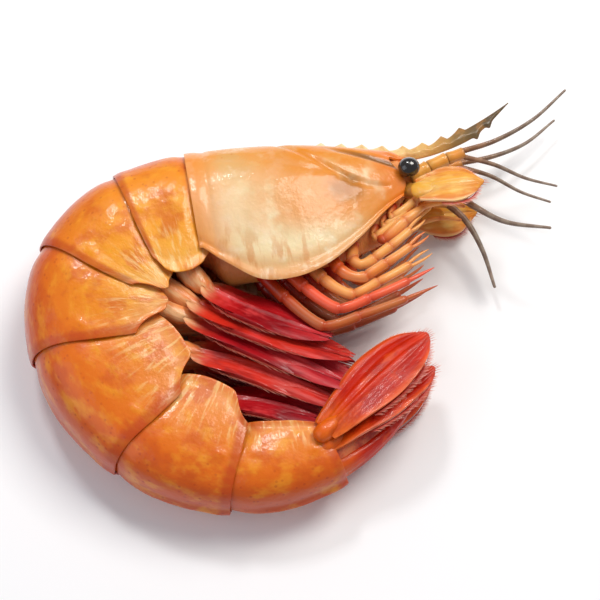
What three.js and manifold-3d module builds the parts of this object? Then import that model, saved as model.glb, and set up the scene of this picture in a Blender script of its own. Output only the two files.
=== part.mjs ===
// A whole cooked shrimp, curled and lying on its left side. Millimetres, +Z up.
// The middle plane of the body is level. A point of the body is given by its place along the
// body from the eye sockets towards the tail, its distance towards the back, and its distance
// towards the right side, which is up.
import * as THREE from "three";
import { mergeVertices } from "three/addons/utils/BufferGeometryUtils.js";
import Module from "manifold-3d";

const wasm = await Module();
wasm.setup();

// Driving dimensions
const carapaceLength = 28;
const segmentLengths = [7.5, 8.5, 10, 13.5, 12.5, 12.5];
const telsonLength = 15;
const rostrumReach = 16.3;
const eyeRadius = 1.45;
const jointGap = 0.3;
const sink = 0.25; // how far a round side is pressed flat where it rests

// How the body bends: the compass heading of the tailward direction at the eye sockets, then
// how much each stretch turns, in degrees
const headHeading = 189.5;
const segmentBends = [15, 39, 43, 34, 29, 34];
const telsonBend = 24;

// How far each joint line is swept towards the tail at the tips of the side plates: behind the
// carapace, behind each abdomen segment
const jointSweeps = [0, 1.2, 2.6, 3.6, 2.8, 1.8, 0];

// Half sizes of the body against the distance from the eye sockets
const backHeight = profile([
  [0, 4.1], [6, 5.5], [14, 7], [22, 7.8], [28, 8], [44, 7.8], [54, 7.4], [67, 6.6], [80, 5.5], [92, 4.1], [107, 1],
]);
const bellyDepth = profile([
  [0, 2.2], [6, 4.8], [14, 6.4], [24, 6.8], [44, 6.6], [54, 6.3], [67, 5.6], [80, 4.8], [92, 3.5], [107, 0.8],
]);
const halfWidth = profile([
  [0, 3], [6, 5], [14, 6.7], [22, 7.3], [28, 7.3], [44, 7], [54, 6.6], [67, 5.9], [80, 5], [92, 3.9], [107, 1],
]);

// How far the side plates hang below the belly
const carapaceDrop = profile([[0, 0.3], [4, 1.3], [8, 3.5], [12.5, 5.6], [17, 6.5], [21.5, 5.9], [25, 3.3], [28, 0.6]]);
const pleuronDrops = [3.1, 4.2, 4.9, 5, 4, 0.9];

// Where the tips of the swimming legs lie in plan, from the eye sockets
const pleopodTips = [[-12.6, -22], [-10.4, -24.3], [-9.6, -27.6], [-10.2, -30.1], [-12.6, -32.4]];
const leafTwist = THREE.MathUtils.degToRad(60);

// How far towards the back the last left walking leg lies from the right one
const leftLegOffset = 1.1;

const colours = {
  head: "#e9b784",
  shell: "#ee8f33",
  tail: "#d2502a",
  leg: "#d9552c",
  swimmer: "#b93434",
  feeler: "#c4532f",
  scale: "#ec8a3a",
  eye: "#0d0b0d",
  stalk: "#d98a4a",
  belly: "#e3987a",
};

// A smooth curve through a few [place, value] pairs
function profile(pairs) {
  const slope = (i) => {
    const a = pairs[Math.max(i - 1, 0)];
    const b = pairs[Math.min(i + 1, pairs.length - 1)];
    return (b[1] - a[1]) / (b[0] - a[0]);
  };
  return (s) => {
    const at = THREE.MathUtils.clamp(s, pairs[0][0], pairs.at(-1)[0]);
    let i = pairs.findIndex((pair) => pair[0] >= at);
    i = Math.max(i - 1, 0);
    const [s0, v0] = pairs[i];
    const [s1, v1] = pairs[i + 1];
    const span = s1 - s0;
    const t = (at - s0) / span;
    const m0 = slope(i) * span;
    const m1 = slope(i + 1) * span;
    const t2 = t * t;
    const t3 = t2 * t;
    return v0 * (2 * t3 - 3 * t2 + 1) + m0 * (t3 - 2 * t2 + t) + v1 * (3 * t2 - 2 * t3) + m1 * (t3 - t2);
  };
}

// The places where each abdomen segment starts, and where the telson starts and ends
const joints = [carapaceLength];
for (const length of [...segmentLengths, telsonLength]) joints.push(joints.at(-1) + length);

// The middle line of the body in plan: a straight head, then one arc for each stretch
const spineArcs = [];
{
  let x = 0;
  let y = 0;
  let heading = THREE.MathUtils.degToRad(headHeading);
  const stretches = [
    [carapaceLength, 0],
    ...segmentLengths.map((length, i) => [length, segmentBends[i]]),
    [telsonLength, telsonBend],
  ];
  let start = 0;
  for (const [length, bend] of stretches) {
    const turn = THREE.MathUtils.degToRad(bend) / length;
    const arc = { start, end: start + length, x, y, heading, turn };
    spineArcs.push(arc);
    const end = onArc(arc, arc.end);
    ({ x, y, heading } = end);
    start = arc.end;
  }
}

function onArc(arc, s) {
  const run = s - arc.start;
  const heading = arc.heading + arc.turn * run;
  if (Math.abs(arc.turn) < 1e-9)
    return { x: arc.x + run * Math.cos(heading), y: arc.y + run * Math.sin(heading), heading };
  return {
    x: arc.x + (Math.sin(heading) - Math.sin(arc.heading)) / arc.turn,
    y: arc.y - (Math.cos(heading) - Math.cos(arc.heading)) / arc.turn,
    heading,
  };
}

function spine(s) {
  const arc = spineArcs.find((one) => s <= one.end) ?? spineArcs.at(-1);
  return onArc(arc, s);
}

// The middle plane's height: the stiff head is level, and the tail comes down as it narrows
function restHeight(s) {
  return s < carapaceLength ? halfWidth(carapaceLength) - sink : halfWidth(s) - sink + tailLift(s);
}

// The tail fan hangs a little above the surface, as its lower fins are under it
function tailLift(s) {
  return THREE.MathUtils.smoothstep(s, joints[4], joints[6]) * 1.4 + THREE.MathUtils.smoothstep(s, joints[5], joints[7]) * 2.6;
}

// A point of the body, from its place along it and its distances to the back and to the right
function place(s, back, right) {
  const at = spine(s);
  return new THREE.Vector3(
    at.x + back * Math.sin(at.heading),
    at.y - back * Math.cos(at.heading),
    restHeight(s) + right,
  );
}

// A closed skin over rings of points, each with as many points as the others
function skin(rings) {
  const around = rings[0].length;
  const points = rings.flat();
  const centre = (ring) =>
    ring.reduce((sum, p) => sum.add(p), new THREE.Vector3()).divideScalar(ring.length);
  points.push(centre(rings[0]), centre(rings.at(-1)));
  const first = points.length - 2;
  const last = points.length - 1;
  const index = [];
  for (let j = 0; j < rings.length - 1; j += 1)
    for (let i = 0; i < around; i += 1) {
      const a = j * around + i;
      const b = j * around + ((i + 1) % around);
      index.push(a, b, a + around, b, b + around, a + around);
    }
  const foot = (rings.length - 1) * around;
  for (let i = 0; i < around; i += 1) {
    const next = (i + 1) % around;
    index.push(first, next, i, last, foot + i, foot + next);
  }
  return outward(new THREE.BufferGeometry().setFromPoints(points).setIndex(index));
}

// Turns a closed geometry's faces outwards
function outward(geometry) {
  const p = geometry.attributes.position;
  const corner = (i) => new THREE.Vector3().fromBufferAttribute(p, geometry.index.getX(i));
  let volume = 0;
  for (let i = 0; i < geometry.index.count; i += 3) volume += corner(i).dot(corner(i + 1).cross(corner(i + 2)));
  if (volume < 0) geometry.setIndex(Array.from(geometry.index.array).reverse());
  geometry.computeVertexNormals();
  return geometry;
}

function toSolid(geometry) {
  const bare = geometry.clone();
  bare.deleteAttribute("normal");
  bare.deleteAttribute("uv");
  const merged = mergeVertices(bare, 1e-4);
  return new wasm.Manifold(
    new wasm.Mesh({
      numProp: 3,
      vertProperties: merged.attributes.position.array,
      triVerts: new Uint32Array(merged.index.array),
    }),
  );
}

function toGeometry(solid) {
  const mesh = solid.getMesh();
  const geometry = new THREE.BufferGeometry()
    .setAttribute("position", new THREE.BufferAttribute(new Float32Array(mesh.vertProperties), 3))
    .setIndex(new THREE.BufferAttribute(new Uint32Array(mesh.triVerts), 1));
  geometry.computeVertexNormals();
  return geometry;
}

// Everything under the surface that the body rests on
const underSize = 400;
const under = toSolid(new THREE.BoxGeometry(underSize, underSize, underSize).translate(0, 0, -underSize / 2));

// Presses a geometry flat where it would go through the surface
function pressedFlat(geometry) {
  return toGeometry(toSolid(geometry).subtract(under));
}

function fused(...geometries) {
  return toGeometry(geometries.map(toSolid).reduce((a, b) => a.add(b)));
}

function named(name, geometry, colour, roughness = 0.35) {
  const mesh = new THREE.Mesh(
    geometry,
    new THREE.MeshStandardMaterial({ color: colours[colour], roughness, metalness: 0 }),
  );
  mesh.name = name;
  return mesh;
}

// One ring of shell: a round back, side plates that hang by drop below the belly, and the
// belly between them. Each pair is [towards the back, towards the right]. The plates' tips are
// swept towards the tail.
function shellRing(s, swell, drop, sweep = 0) {
  const back = backHeight(s) * swell;
  const belly = bellyDepth(s) * swell;
  const wide = halfWidth(s) * swell;
  const plate = belly + drop;
  const half = [];
  for (let i = 1; i <= 5; i += 1) {
    const angle = (i / 5) * (Math.PI / 2);
    half.push([back * Math.cos(angle), wide * Math.sin(angle)]);
  }
  half.push(
    [-plate * 0.36, wide * 0.985],
    [-plate * 0.72, wide * 0.93],
    [-plate, wide * 0.82],
    [-plate + 0.5, wide * 0.82 - 0.9],
    [-belly * 0.88, wide * 0.5],
    [-belly, wide * 0.22],
  );
  const mirrored = half.toReversed().map(([d, b]) => [d, -b]);
  const ring = [[back, 0], ...half, [-belly, 0], ...mirrored];
  return ring.map(([d, b]) => place(s + sweep * ((back - d) / (back + plate)) ** 2, d, b));
}

function carapace() {
  const stops = [0.7, 2, 4, 7, 10.5, 14, 17.5, 21, 24, 26.3, 27.5, carapaceLength - jointGap / 2];
  const shell = skin(stops.map((s) => shellRing(s, s > 27 ? 1.01 : 1, carapaceDrop(s))));
  return named("carapace", pressedFlat(fused(shell, rostrum())), "head");
}

// The saw-toothed spike over the eyes, with the ridge that carries it on along the head
function rostrum() {
  const thickness = 0.9;
  const teeth = 8;
  const firstTooth = -12;
  const toothStep = 2.7;
  const toothHeight = 0.7;
  const straightTo = 3;
  const upturn = (x) => 4.7 + 4.8 * THREE.MathUtils.clamp((x - straightTo) / (rostrumReach - straightTo), 0, 1) ** 1.5;
  const ridge = (x) => (x < 0 ? backHeight(-x) + 0.6 : upturn(x));
  const shape = new THREE.Shape();
  shape.moveTo(-16, 4.6);
  shape.lineTo(-15, backHeight(15) + 0.1);
  for (let i = 0; i < teeth; i += 1) {
    const x = firstTooth + i * toothStep;
    const peak = x + toothStep * 0.72;
    shape.lineTo(x, ridge(x));
    shape.lineTo(peak, ridge(peak) + toothHeight);
  }
  shape.lineTo(rostrumReach - 4, upturn(rostrumReach - 4));
  shape.lineTo(rostrumReach, upturn(rostrumReach));
  shape.lineTo(12.4, 6.1);
  shape.lineTo(11, 4.7);
  shape.lineTo(10, 4.8);
  shape.lineTo(5, 3.4);
  shape.lineTo(0.5, 3);
  shape.lineTo(-4, 3);
  shape.closePath();
  const spike = new THREE.ExtrudeGeometry(shape, { depth: thickness, bevelEnabled: false });
  spike.translate(0, 0, -thickness / 2);
  return outward(mergeVertices(bare(spike), 1e-4)).applyMatrix4(headMatrix());
}

function bare(geometry) {
  geometry.deleteAttribute("normal");
  geometry.deleteAttribute("uv");
  return geometry;
}

// The head's own frame: x forwards, y towards the back, z towards the right side
function headMatrix() {
  return new THREE.Matrix4()
    .makeRotationZ(THREE.MathUtils.degToRad(headHeading - 180))
    .setPosition(0, 0, restHeight(0));
}

function abdomenSegment(number) {
  const start = joints[number - 1] + jointGap / 2;
  const end = joints[number] - jointGap / 2;
  const drop = pleuronDrops[number - 1];
  // A tucked front edge, a rounded lobe of side plate and a flared rear edge
  const stops = [
    [0, 0.94, 0.2], [0.14, 0.965, 0.72], [0.36, 0.99, 1], [0.62, 1, 0.92], [0.86, 1.01, 0.52], [1, 1.015, 0.2],
  ];
  const rings = stops.map(([t, swell, hang]) =>
    shellRing(
      THREE.MathUtils.lerp(start, end, t),
      swell,
      drop * hang,
      THREE.MathUtils.lerp(jointSweeps[number - 1], jointSweeps[number], t),
    ),
  );
  return named(`abdomen_${number}`, pressedFlat(skin(rings)), "shell");
}

// The underside of the head between the side plates, which carries the walking legs
function thorax() {
  const stops = [3, 6, 10, 14, 18, 22, 25];
  const rings = stops.map((s) => {
    const belly = bellyDepth(s) + jointGap;
    const wide = halfWidth(s);
    const half = [[-belly, wide * 0.2], [-belly - 0.9, wide * 0.4], [-belly - 1.8, wide * 0.38], [-belly - 2.4, wide * 0.28]];
    const ring = [...half, [-belly - 2.4, 0], ...half.toReversed().map(([d, b]) => [d, -b]), [-belly, 0]];
    return ring.map(([d, b]) => place(s, d, b));
  });
  return named("thorax", skin(rings), "belly");
}

// A leaf-shaped blade along +x, lying in the xy plane, arched by camber
function blade({ length, halfWidthAt, thickness, camber = 0, steps = 9 }) {
  const rings = [];
  for (let j = 0; j <= steps; j += 1) {
    const t = j / steps;
    const wide = halfWidthAt(t);
    const thick = (thickness / 2) * (1 - 0.5 * t);
    const rise = camber * 4 * t * (1 - t);
    const profilePoints = [[-1, 0], [-0.55, 0.85], [0, 1], [0.55, 0.85], [1, 0], [0.55, -0.85], [0, -1], [-0.55, -0.85]];
    rings.push(
      profilePoints.map(([across, up]) =>
        new THREE.Vector3(t * length, across * wide, up * thick + rise * (1 - across * across * 0.5)),
      ),
    );
  }
  return skin(rings);
}

// A round limb along a curve, as thick at each place as radiusAt says
function limb(points, radiusAt, steps, sides = 6) {
  const curve = new THREE.CatmullRomCurve3(points, false, "centripetal");
  const frames = curve.computeFrenetFrames(steps, false);
  const rings = [];
  for (let j = 0; j <= steps; j += 1) {
    const centre = curve.getPointAt(j / steps);
    const radius = radiusAt(j / steps);
    const ring = [];
    for (let i = 0; i < sides; i += 1) {
      const angle = (i / sides) * 2 * Math.PI;
      ring.push(
        centre
          .clone()
          .addScaledVector(frames.normals[j], radius * Math.cos(angle))
          .addScaledVector(frames.binormals[j], radius * Math.sin(angle)),
      );
    }
    rings.push(ring);
  }
  return skin(rings);
}

// Points of the head's frame on the right side (side 1) or the left side (side -1)
function onSide(points, side) {
  return points.map(([x, y, z]) => new THREE.Vector3(x, y, z * side));
}

const sides = [["right", 1], ["left", -1]];

function telson() {
  const start = joints[6] + jointGap / 2;
  const end = joints[7];
  const stops = [0, 0.18, 0.4, 0.62, 0.82, 0.95, 1];
  const rings = stops.map((t) => {
    const s = THREE.MathUtils.lerp(start, end, t);
    const wide = THREE.MathUtils.lerp(2.5, 0.35, t ** 1.3);
    const high = THREE.MathUtils.lerp(1.5, 0.3, t);
    const base = backHeight(start) - high - 0.4;
    const ring = [];
    for (let i = 0; i < 12; i += 1) {
      const angle = (i / 12) * 2 * Math.PI;
      ring.push(place(s, base * (1 - t) + high * Math.cos(angle), wide * Math.sin(angle)));
    }
    return ring;
  });
  return named("telson", skin(rings), "tail");
}

// One fin of the tail fan: outer (exopod) or inner (endopod), folded down beside the telson
function tailFin(sideName, side, fin) {
  const outer = fin === "exopod";
  const length = outer ? 18.4 : 16.6;
  const wide = outer ? 3.8 : 2.9;
  const geometry = blade({
    length,
    thickness: 0.9,
    camber: outer ? 1 : 0.8,
    halfWidthAt: (t) => wide * (0.3 + 0.7 * Math.sin(Math.PI * (0.04 + t * 0.72)) ** 0.8) * (1 - 0.6 * t ** 7),
  });
  const mesh = named(`uropod_${fin}_${sideName}`, geometry, "tail");
  const root = joints[6] - 0.4;
  const at = spine(root + 1.2);
  mesh.position.copy(place(root + 1.2, outer ? -1.9 : -0.5, side * (outer ? 4.4 : 3)));
  // Along the tail, then tilted so that the fin hangs from the telson towards the belly
  mesh.rotation.order = "ZYX";
  mesh.rotation.z = at.heading + THREE.MathUtils.degToRad(outer ? 20 : 12);
  mesh.rotation.y = THREE.MathUtils.degToRad(side * (outer ? 3 : 1));
  mesh.rotation.x = THREE.MathUtils.degToRad(side * (outer ? 20 : 30) * -1);
  return mesh;
}

function eye(sideName, side) {
  const geometry = new THREE.SphereGeometry(eyeRadius, 14, 9);
  geometry.scale(1, 0.92, 0.86);
  const mesh = named(`eye_${sideName}`, geometry, "eye", 0.15);
  mesh.position.set(0.35, 0.3, side * 4.05);
  return mesh;
}

function eyestalk(sideName, side) {
  const points = onSide([[0.35, 2.5, 0.9], [0.45, 2.1, 1.7], [0.5, 1.55, 2.4]], side);
  const geometry = limb(points, (t) => 0.45 + 0.3 * t, 4, 8);
  return named(`eyestalk_${sideName}`, geometry, "stalk");
}

// The flat scale beside the feelers
function antennalScale(sideName, side) {
  const geometry = blade({
    length: 8.8,
    thickness: 0.8,
    camber: 0.6,
    halfWidthAt: (t) => 3.2 * (0.35 + 0.65 * Math.sin(Math.PI * Math.min(0.1 + t * 0.7, 1))) * (1 - 0.7 * t ** 6),
  });
  const mesh = named(`antennal_scale_${sideName}`, geometry, "scale");
  mesh.position.set(0.8, -3.2, side * 4.15);
  mesh.rotation.order = "ZYX";
  mesh.rotation.z = THREE.MathUtils.degToRad(side > 0 ? -1 : -6);
  mesh.rotation.x = THREE.MathUtils.degToRad(side * -22);
  return mesh;
}

// The short feelers: a jointed stalk with two whips
function antennule(sideName, side) {
  const stalk = limb(
    onSide([[0.6, -0.2, 1.4], [3, 0.8, 1.5], [5.8, 1.7, 1.6], [8.4, 2.2, 1.7]], side),
    (t) => 1.1 - 0.34 * t + 0.08 * Math.cos(t * 6 * Math.PI),
    8,
  );
  const upper = limb(
    onSide([[7.8, 2.4, 1.8], [12.6, 2.9, 2.5], [18, 4.6, 3.6], [23.2, 7.9, 4.4]], side),
    (t) => 0.42 - 0.25 * t,
    9,
    5,
  );
  const lower = limb(
    onSide([[7.8, 1.9, 1.6], [12, -0.2, 1.8], [15.6, -3, 2.2], [19.4, -5, 2.6]], side),
    (t) => 0.38 - 0.22 * t,
    8,
    5,
  );
  return named(`antennule_${sideName}`, fused(stalk, upper, lower), "feeler");
}

// The long feelers: a stout base and one whip, broken short
function antenna(sideName, side) {
  const base = limb(
    onSide([[0.3, -1.9, 1.5], [2.6, -2.3, 1.8], [5.6, -2.8, 2.2]], side),
    (t) => 1.05 - 0.3 * t,
    4,
  );
  const routes = {
    right: [[5.2, -2.8, 2.2], [7.8, -6, 2.8], [11.2, -9.2, 3.6], [16.8, -11.4, 4.4]],
    left: [[5.2, -2.8, 2.2], [7.4, -5.6, 2.6], [8.9, -10, 3.2], [9.6, -15.4, 4]],
  };
  const whip = limb(onSide(routes[sideName], side), (t) => 0.55 - 0.33 * t, 12, 5);
  return named(`antenna_${sideName}`, fused(base, whip), "feeler");
}

// The leg-like mouthparts under the head
function maxilliped(sideName, side) {
  const points = [[-5.2, -7.5, 1.6], [-4.7, -8.6, 2.3], [-1.6, -6.7, 2.7], [1.6, -5, 2.7], [4.4, -4.9, 2.5], [6.8, -5.7, 2.2]];
  const thigh = (t) => 0.3 * Math.sin(Math.PI * Math.min(t * 1.6, 1));
  const geometry = limb(onSide(points, side), (t) => 0.65 - 0.32 * t + thigh(t), 12);
  return named(`maxilliped_${sideName}`, geometry, "leg");
}

// A walking leg: down from the head's underside to a knee, and folded forwards and up from
// there to its tip. Each one lies below the one in front of it, as the legs of a fan do, and
// the left ones lie between the right ones.
function pereiopod(number, sideName, side) {
  const k = number - 1;
  const offset = side < 0 ? (leftLegOffset * k) / 4 : 0;
  const root = new THREE.Vector3(-8.8 - 3.1 * k, -bellyDepth(8.8 + 3.1 * k) - 3.3, 1.9);
  const knee = new THREE.Vector3(-8.4 - 0.5 * k - 0.25 * k * k, -12 - 1.8 * k + offset, 2.9 + 0.5 * (k % 2));
  const tip = new THREE.Vector3(1.1 - offset, -6.5 - 2.4 * k + offset, 2.6 + 0.3 * (k % 2));
  const along = (t) => knee.clone().lerp(tip, t);
  const points = [
    root,
    root.clone().lerp(knee, 0.5).add(new THREE.Vector3(-0.5, -0.3, 0.3)),
    knee,
    along(0.35).add(new THREE.Vector3(0, -0.5, 0.5)),
    along(0.7).add(new THREE.Vector3(0, -0.4, 0.3)),
    tip,
  ];
  for (const point of points) point.z *= side;
  const geometry = limb(points, (t) => 0.9 - 0.5 * t - 0.07 * Math.cos(t * 8 * Math.PI), 13);
  return named(`pereiopod_${number}_${sideName}`, geometry, "leg");
}

// A swimming leg: a stout stem and a leaf, lying in the hollow of the curl
function pleopod(number, sideName, side) {
  const s = (joints[number - 1] + joints[number]) / 2;
  const size = halfWidth(s) / halfWidth(0.5 * (joints[0] + joints[1]));
  const root = place(s, -bellyDepth(s) - jointGap - 0.1, side * halfWidth(s) * 0.31);
  const inward = place(s, -20, 0).sub(place(s, 0, 0)).normalize();
  const [tipX, tipY] = pleopodTips[number - 1];
  const tip = new THREE.Vector3(tipX, tipY, root.z);
  const length = root.distanceTo(tip);
  tip.z += side * 0.4;
  const route = new THREE.QuadraticBezierCurve3(root, root.clone().addScaledVector(inward, length * 0.25), tip);
  const wideAt = profile([[0, 1.3], [0.28, 1.45], [0.38, 1.25], [0.62, 2.2], [0.85, 1.8], [1, 0.4]]);
  const thickAt = profile([[0, 1.35], [0.18, 1.3], [0.3, 0.85], [0.4, 0.42], [0.7, 0.34], [1, 0.15]]);
  const rings = [0, 0.12, 0.28, 0.38, 0.5, 0.62, 0.76, 0.9, 1].map((t) => {
    const centre = route.getPoint(t);
    const forward = route.getTangent(t);
    // The leaf is twisted, so that its face shows from the side
    const across = new THREE.Vector3(-forward.y, forward.x, 0)
      .normalize()
      .applyAxisAngle(forward, side * leafTwist * THREE.MathUtils.smoothstep(t, 0.1, 0.55));
    const broad = forward.clone().cross(across);
    const ring = [];
    for (let i = 0; i < 8; i += 1) {
      const angle = (i / 8) * 2 * Math.PI;
      ring.push(
        centre
          .clone()
          .addScaledVector(across, size * thickAt(t) * Math.cos(angle))
          .addScaledVector(broad, size * wideAt(t) * Math.sin(angle)),
      );
    }
    return ring;
  });
  return named(`pleopod_${number}_${sideName}`, skin(rings), "swimmer");
}

// The parts that are placed in the head's frame
function headParts() {
  const head = new THREE.Group();
  head.applyMatrix4(headMatrix());
  for (const [sideName, side] of sides) {
    head.add(
      eye(sideName, side),
      eyestalk(sideName, side),
      antennalScale(sideName, side),
      antennule(sideName, side),
      antenna(sideName, side),
      maxilliped(sideName, side),
    );
    for (let number = 1; number <= 5; number += 1) head.add(pereiopod(number, sideName, side));
  }
  return head;
}

const shrimp = new THREE.Group();
shrimp.add(carapace(), thorax(), headParts(), telson());
for (let number = 1; number <= segmentLengths.length; number += 1) shrimp.add(abdomenSegment(number));
for (const [sideName, side] of sides) {
  for (let number = 1; number <= 5; number += 1) shrimp.add(pleopod(number, sideName, side));
  shrimp.add(tailFin(sideName, side, "endopod"), tailFin(sideName, side, "exopod"));
}

// The origin is on the resting surface, under the middle of the whole
const bounds = new THREE.Box3().setFromObject(shrimp, true);
const middle = bounds.getCenter(new THREE.Vector3());
shrimp.position.set(-middle.x, -middle.y, -bounds.min.z);

const part = new THREE.Group();
part.add(shrimp);

export default part;
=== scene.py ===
import math

import bpy
import numpy as np
from mathutils import Matrix, Vector, noise


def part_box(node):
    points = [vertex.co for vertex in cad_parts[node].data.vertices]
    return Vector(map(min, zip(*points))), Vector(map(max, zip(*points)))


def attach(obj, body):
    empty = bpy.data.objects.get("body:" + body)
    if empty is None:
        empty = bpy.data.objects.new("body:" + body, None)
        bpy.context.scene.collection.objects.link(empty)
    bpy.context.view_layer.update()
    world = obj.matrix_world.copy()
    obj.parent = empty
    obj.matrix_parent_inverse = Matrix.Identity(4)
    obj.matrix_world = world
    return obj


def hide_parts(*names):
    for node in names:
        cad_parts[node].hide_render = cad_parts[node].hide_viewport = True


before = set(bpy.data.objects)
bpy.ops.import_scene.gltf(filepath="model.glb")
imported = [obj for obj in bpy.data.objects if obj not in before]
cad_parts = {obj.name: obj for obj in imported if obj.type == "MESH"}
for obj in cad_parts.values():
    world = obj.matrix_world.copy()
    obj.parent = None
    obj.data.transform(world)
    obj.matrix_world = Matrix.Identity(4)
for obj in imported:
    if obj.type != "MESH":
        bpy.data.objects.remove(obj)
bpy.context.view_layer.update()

mm = 0.001
print("Frame loaded:", len(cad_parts), "pieces of the shrimp to dress")

body = {
    "carapaceLength": 28,
    "segmentLengths": [7.5, 8.5, 10, 13.5, 12.5, 12.5],
    "telsonLength": 15,
    "headHeading": 189.5,                        # compass heading of the tailward direction
    "bends": [0, 15, 39, 43, 34, 29, 34, 24],    # how much each stretch turns, in degrees
    "jointSweeps": [0, 1.2, 2.6, 3.6, 2.8, 1.8, 0],
    "backHeight": [
        [0, 4.1], [6, 5.5], [14, 7], [22, 7.8], [28, 8], [44, 7.8], [54, 7.4], [67, 6.6],
        [80, 5.5], [92, 4.1], [107, 1],
    ],
    "bellyDepth": [
        [0, 2.2], [6, 4.8], [14, 6.4], [24, 6.8], [44, 6.6], [54, 6.3], [67, 5.6], [80, 4.8],
        [92, 3.5], [107, 0.8],
    ],
    "halfWidth": [
        [0, 3], [6, 5], [14, 6.7], [22, 7.3], [28, 7.3], [44, 7], [54, 6.6], [67, 5.9], [80, 5],
        [92, 3.9], [107, 1],
    ],
    "sink": 0.25,          # how far a round side is pressed flat where it rests
    "tailLift": [1.4, 2.6],        # how far the tail's middle rises, before and along its last part
    "floorGap": 0.02,
    "sideShare": 0.54,     # of half a shell's width, how much is round back and not side plate
    "backBulge": [0.6, 0.4],       # how square and how round the back's cross-section is
    "plateTaper": [0.32, 0.14],    # how far the side plates turn inwards, and out again
}
sides = {"right": 1, "left": -1}


# Curves and places

def profile(pairs):
    # A smooth curve through a few [place, value] pairs
    at, value = np.array(pairs, float).T
    here = np.arange(len(at))
    before, after = np.maximum(here - 1, 0), np.minimum(here + 1, len(at) - 1)
    slope = (value[after] - value[before]) / (at[after] - at[before])

    def read(place):
        place = np.clip(place, at[0], at[-1])
        i = np.clip(np.searchsorted(at, place) - 1, 0, len(at) - 2)
        span = at[i + 1] - at[i]
        t = (place - at[i]) / span
        start = value[i] * (2 * t**3 - 3 * t**2 + 1) + slope[i] * span * (t**3 - 2 * t**2 + t)
        return start + value[i + 1] * (3 * t**2 - 2 * t**3) + slope[i + 1] * span * (t**3 - t**2)
    return read


def smoothStep(value, low, high):
    t = np.clip((value - low) / (high - low), 0, 1)
    return t * t * (3 - 2 * t)


def hump(value, middle, width):
    return np.exp(-(((value - middle) / width) ** 2))


backHeight, bellyDepth = profile(body["backHeight"]), profile(body["bellyDepth"])
halfWidth = profile(body["halfWidth"])

stretches = [body["carapaceLength"], *body["segmentLengths"], body["telsonLength"]]
joints = np.concatenate([[0], np.cumsum(stretches)])
turns = np.radians(body["bends"]) / stretches
arcX, arcY, arcHeading = [0.0], [0.0], [math.radians(body["headHeading"])]
for stretch, turn in zip(stretches, turns):
    ahead = arcHeading[-1] + turn * stretch
    if turn == 0:
        arcX.append(arcX[-1] + stretch * math.cos(ahead))
        arcY.append(arcY[-1] + stretch * math.sin(ahead))
    else:
        arcX.append(arcX[-1] + (math.sin(ahead) - math.sin(arcHeading[-1])) / turn)
        arcY.append(arcY[-1] - (math.cos(ahead) - math.cos(arcHeading[-1])) / turn)
    arcHeading.append(ahead)
arcX, arcY, arcHeading = np.array(arcX), np.array(arcY), np.array(arcHeading)


def spineAt(s):
    # The middle line in plan: a straight head, then one arc for each stretch
    i = np.clip(np.searchsorted(joints, s, side="right") - 1, 0, len(turns) - 1)
    run = s - joints[i]
    heading = arcHeading[i] + turns[i] * run
    bent = np.where(turns[i] == 0, 1, turns[i])
    x = np.where(turns[i] == 0, run * np.cos(heading), (np.sin(heading) - np.sin(arcHeading[i])) / bent)
    y = np.where(turns[i] == 0, run * np.sin(heading), (np.cos(arcHeading[i]) - np.cos(heading)) / bent)
    return arcX[i] + x, arcY[i] + y, heading


def restHeight(s):
    # The middle plane's height: level under the head, lower as the tail narrows
    first, second = body["tailLift"]
    lift = smoothStep(s, joints[5], joints[7]) * first + smoothStep(s, joints[6], joints[8]) * second
    level = halfWidth(body["carapaceLength"]) - body["sink"]
    return np.where(s < body["carapaceLength"], level, halfWidth(s) - body["sink"] + lift)


def inPlan(s, back, right):
    # A point of the straight shrimp, once curled, in millimetres from the eye sockets
    s, back, right = (np.asarray(v, float) for v in (s, back, right))
    x, y, heading = spineAt(s)
    return np.stack([x + back * np.sin(heading), y - back * np.cos(heading), restHeight(s) + right], -1)


# The curled shrimp goes where the frame has it: its right eye says where
eyePlace = {"forward": 0.35, "back": 0.3, "side": 4.05}
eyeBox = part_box("eye_right")
eyeCentre = np.array((eyeBox[0] + eyeBox[1]) / 2) / mm
shift = eyeCentre - inPlan(-eyePlace["forward"], eyePlace["back"], eyePlace["side"])


def laidDown(points):
    # From millimetres in plan to millimetres in the frame, never under the floor
    placed = points + shift
    placed[:, 2] = np.maximum(placed[:, 2], body["floorGap"])
    return placed


# Working on meshes

def deselect():
    bpy.ops.object.select_all(action="DESELECT")


def makeActive(obj):
    deselect()
    obj.select_set(True)
    bpy.context.view_layer.objects.active = obj


def readPoints(obj):
    points = np.empty(len(obj.data.vertices) * 3, np.float32)
    obj.data.vertices.foreach_get("co", points)
    return points.reshape(-1, 3).astype(float) / mm


def writePoints(obj, points):
    obj.data.vertices.foreach_set("co", (points * mm).astype(np.float32).ravel())
    obj.data.update()


def keepOnPoints(obj, name, *values):
    # Up to three values kept on the points, which the materials read
    kept = obj.data.attributes.get(name) or obj.data.attributes.new(name, "FLOAT_VECTOR", "POINT")
    table = np.zeros((len(obj.data.vertices), 3), np.float32)
    for column, value in enumerate(values):
        table[:, column] = value
    kept.data.foreach_set("vector", table.ravel())


def editAll(obj, *steps):
    # Runs edit-mode steps on all of a mesh
    makeActive(obj)
    bpy.ops.object.mode_set(mode="EDIT")
    bpy.ops.mesh.select_all(action="SELECT")
    for step in steps:
        step()
    bpy.ops.object.mode_set(mode="OBJECT")


def mergeDoubles():
    bpy.ops.mesh.remove_doubles(threshold=0.002 * mm)


def faceOutwards(obj):
    faces = obj.data.polygons
    centres, normals, areas = np.empty((len(faces), 3)), np.empty((len(faces), 3)), np.empty(len(faces))
    for key, found in (("center", centres), ("normal", normals), ("area", areas)):
        faces.foreach_get(key, found.ravel())
    if ((centres - centres.mean(0)) * normals).sum(1) @ areas < 0:
        editAll(obj, bpy.ops.mesh.flip_normals)


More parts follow.
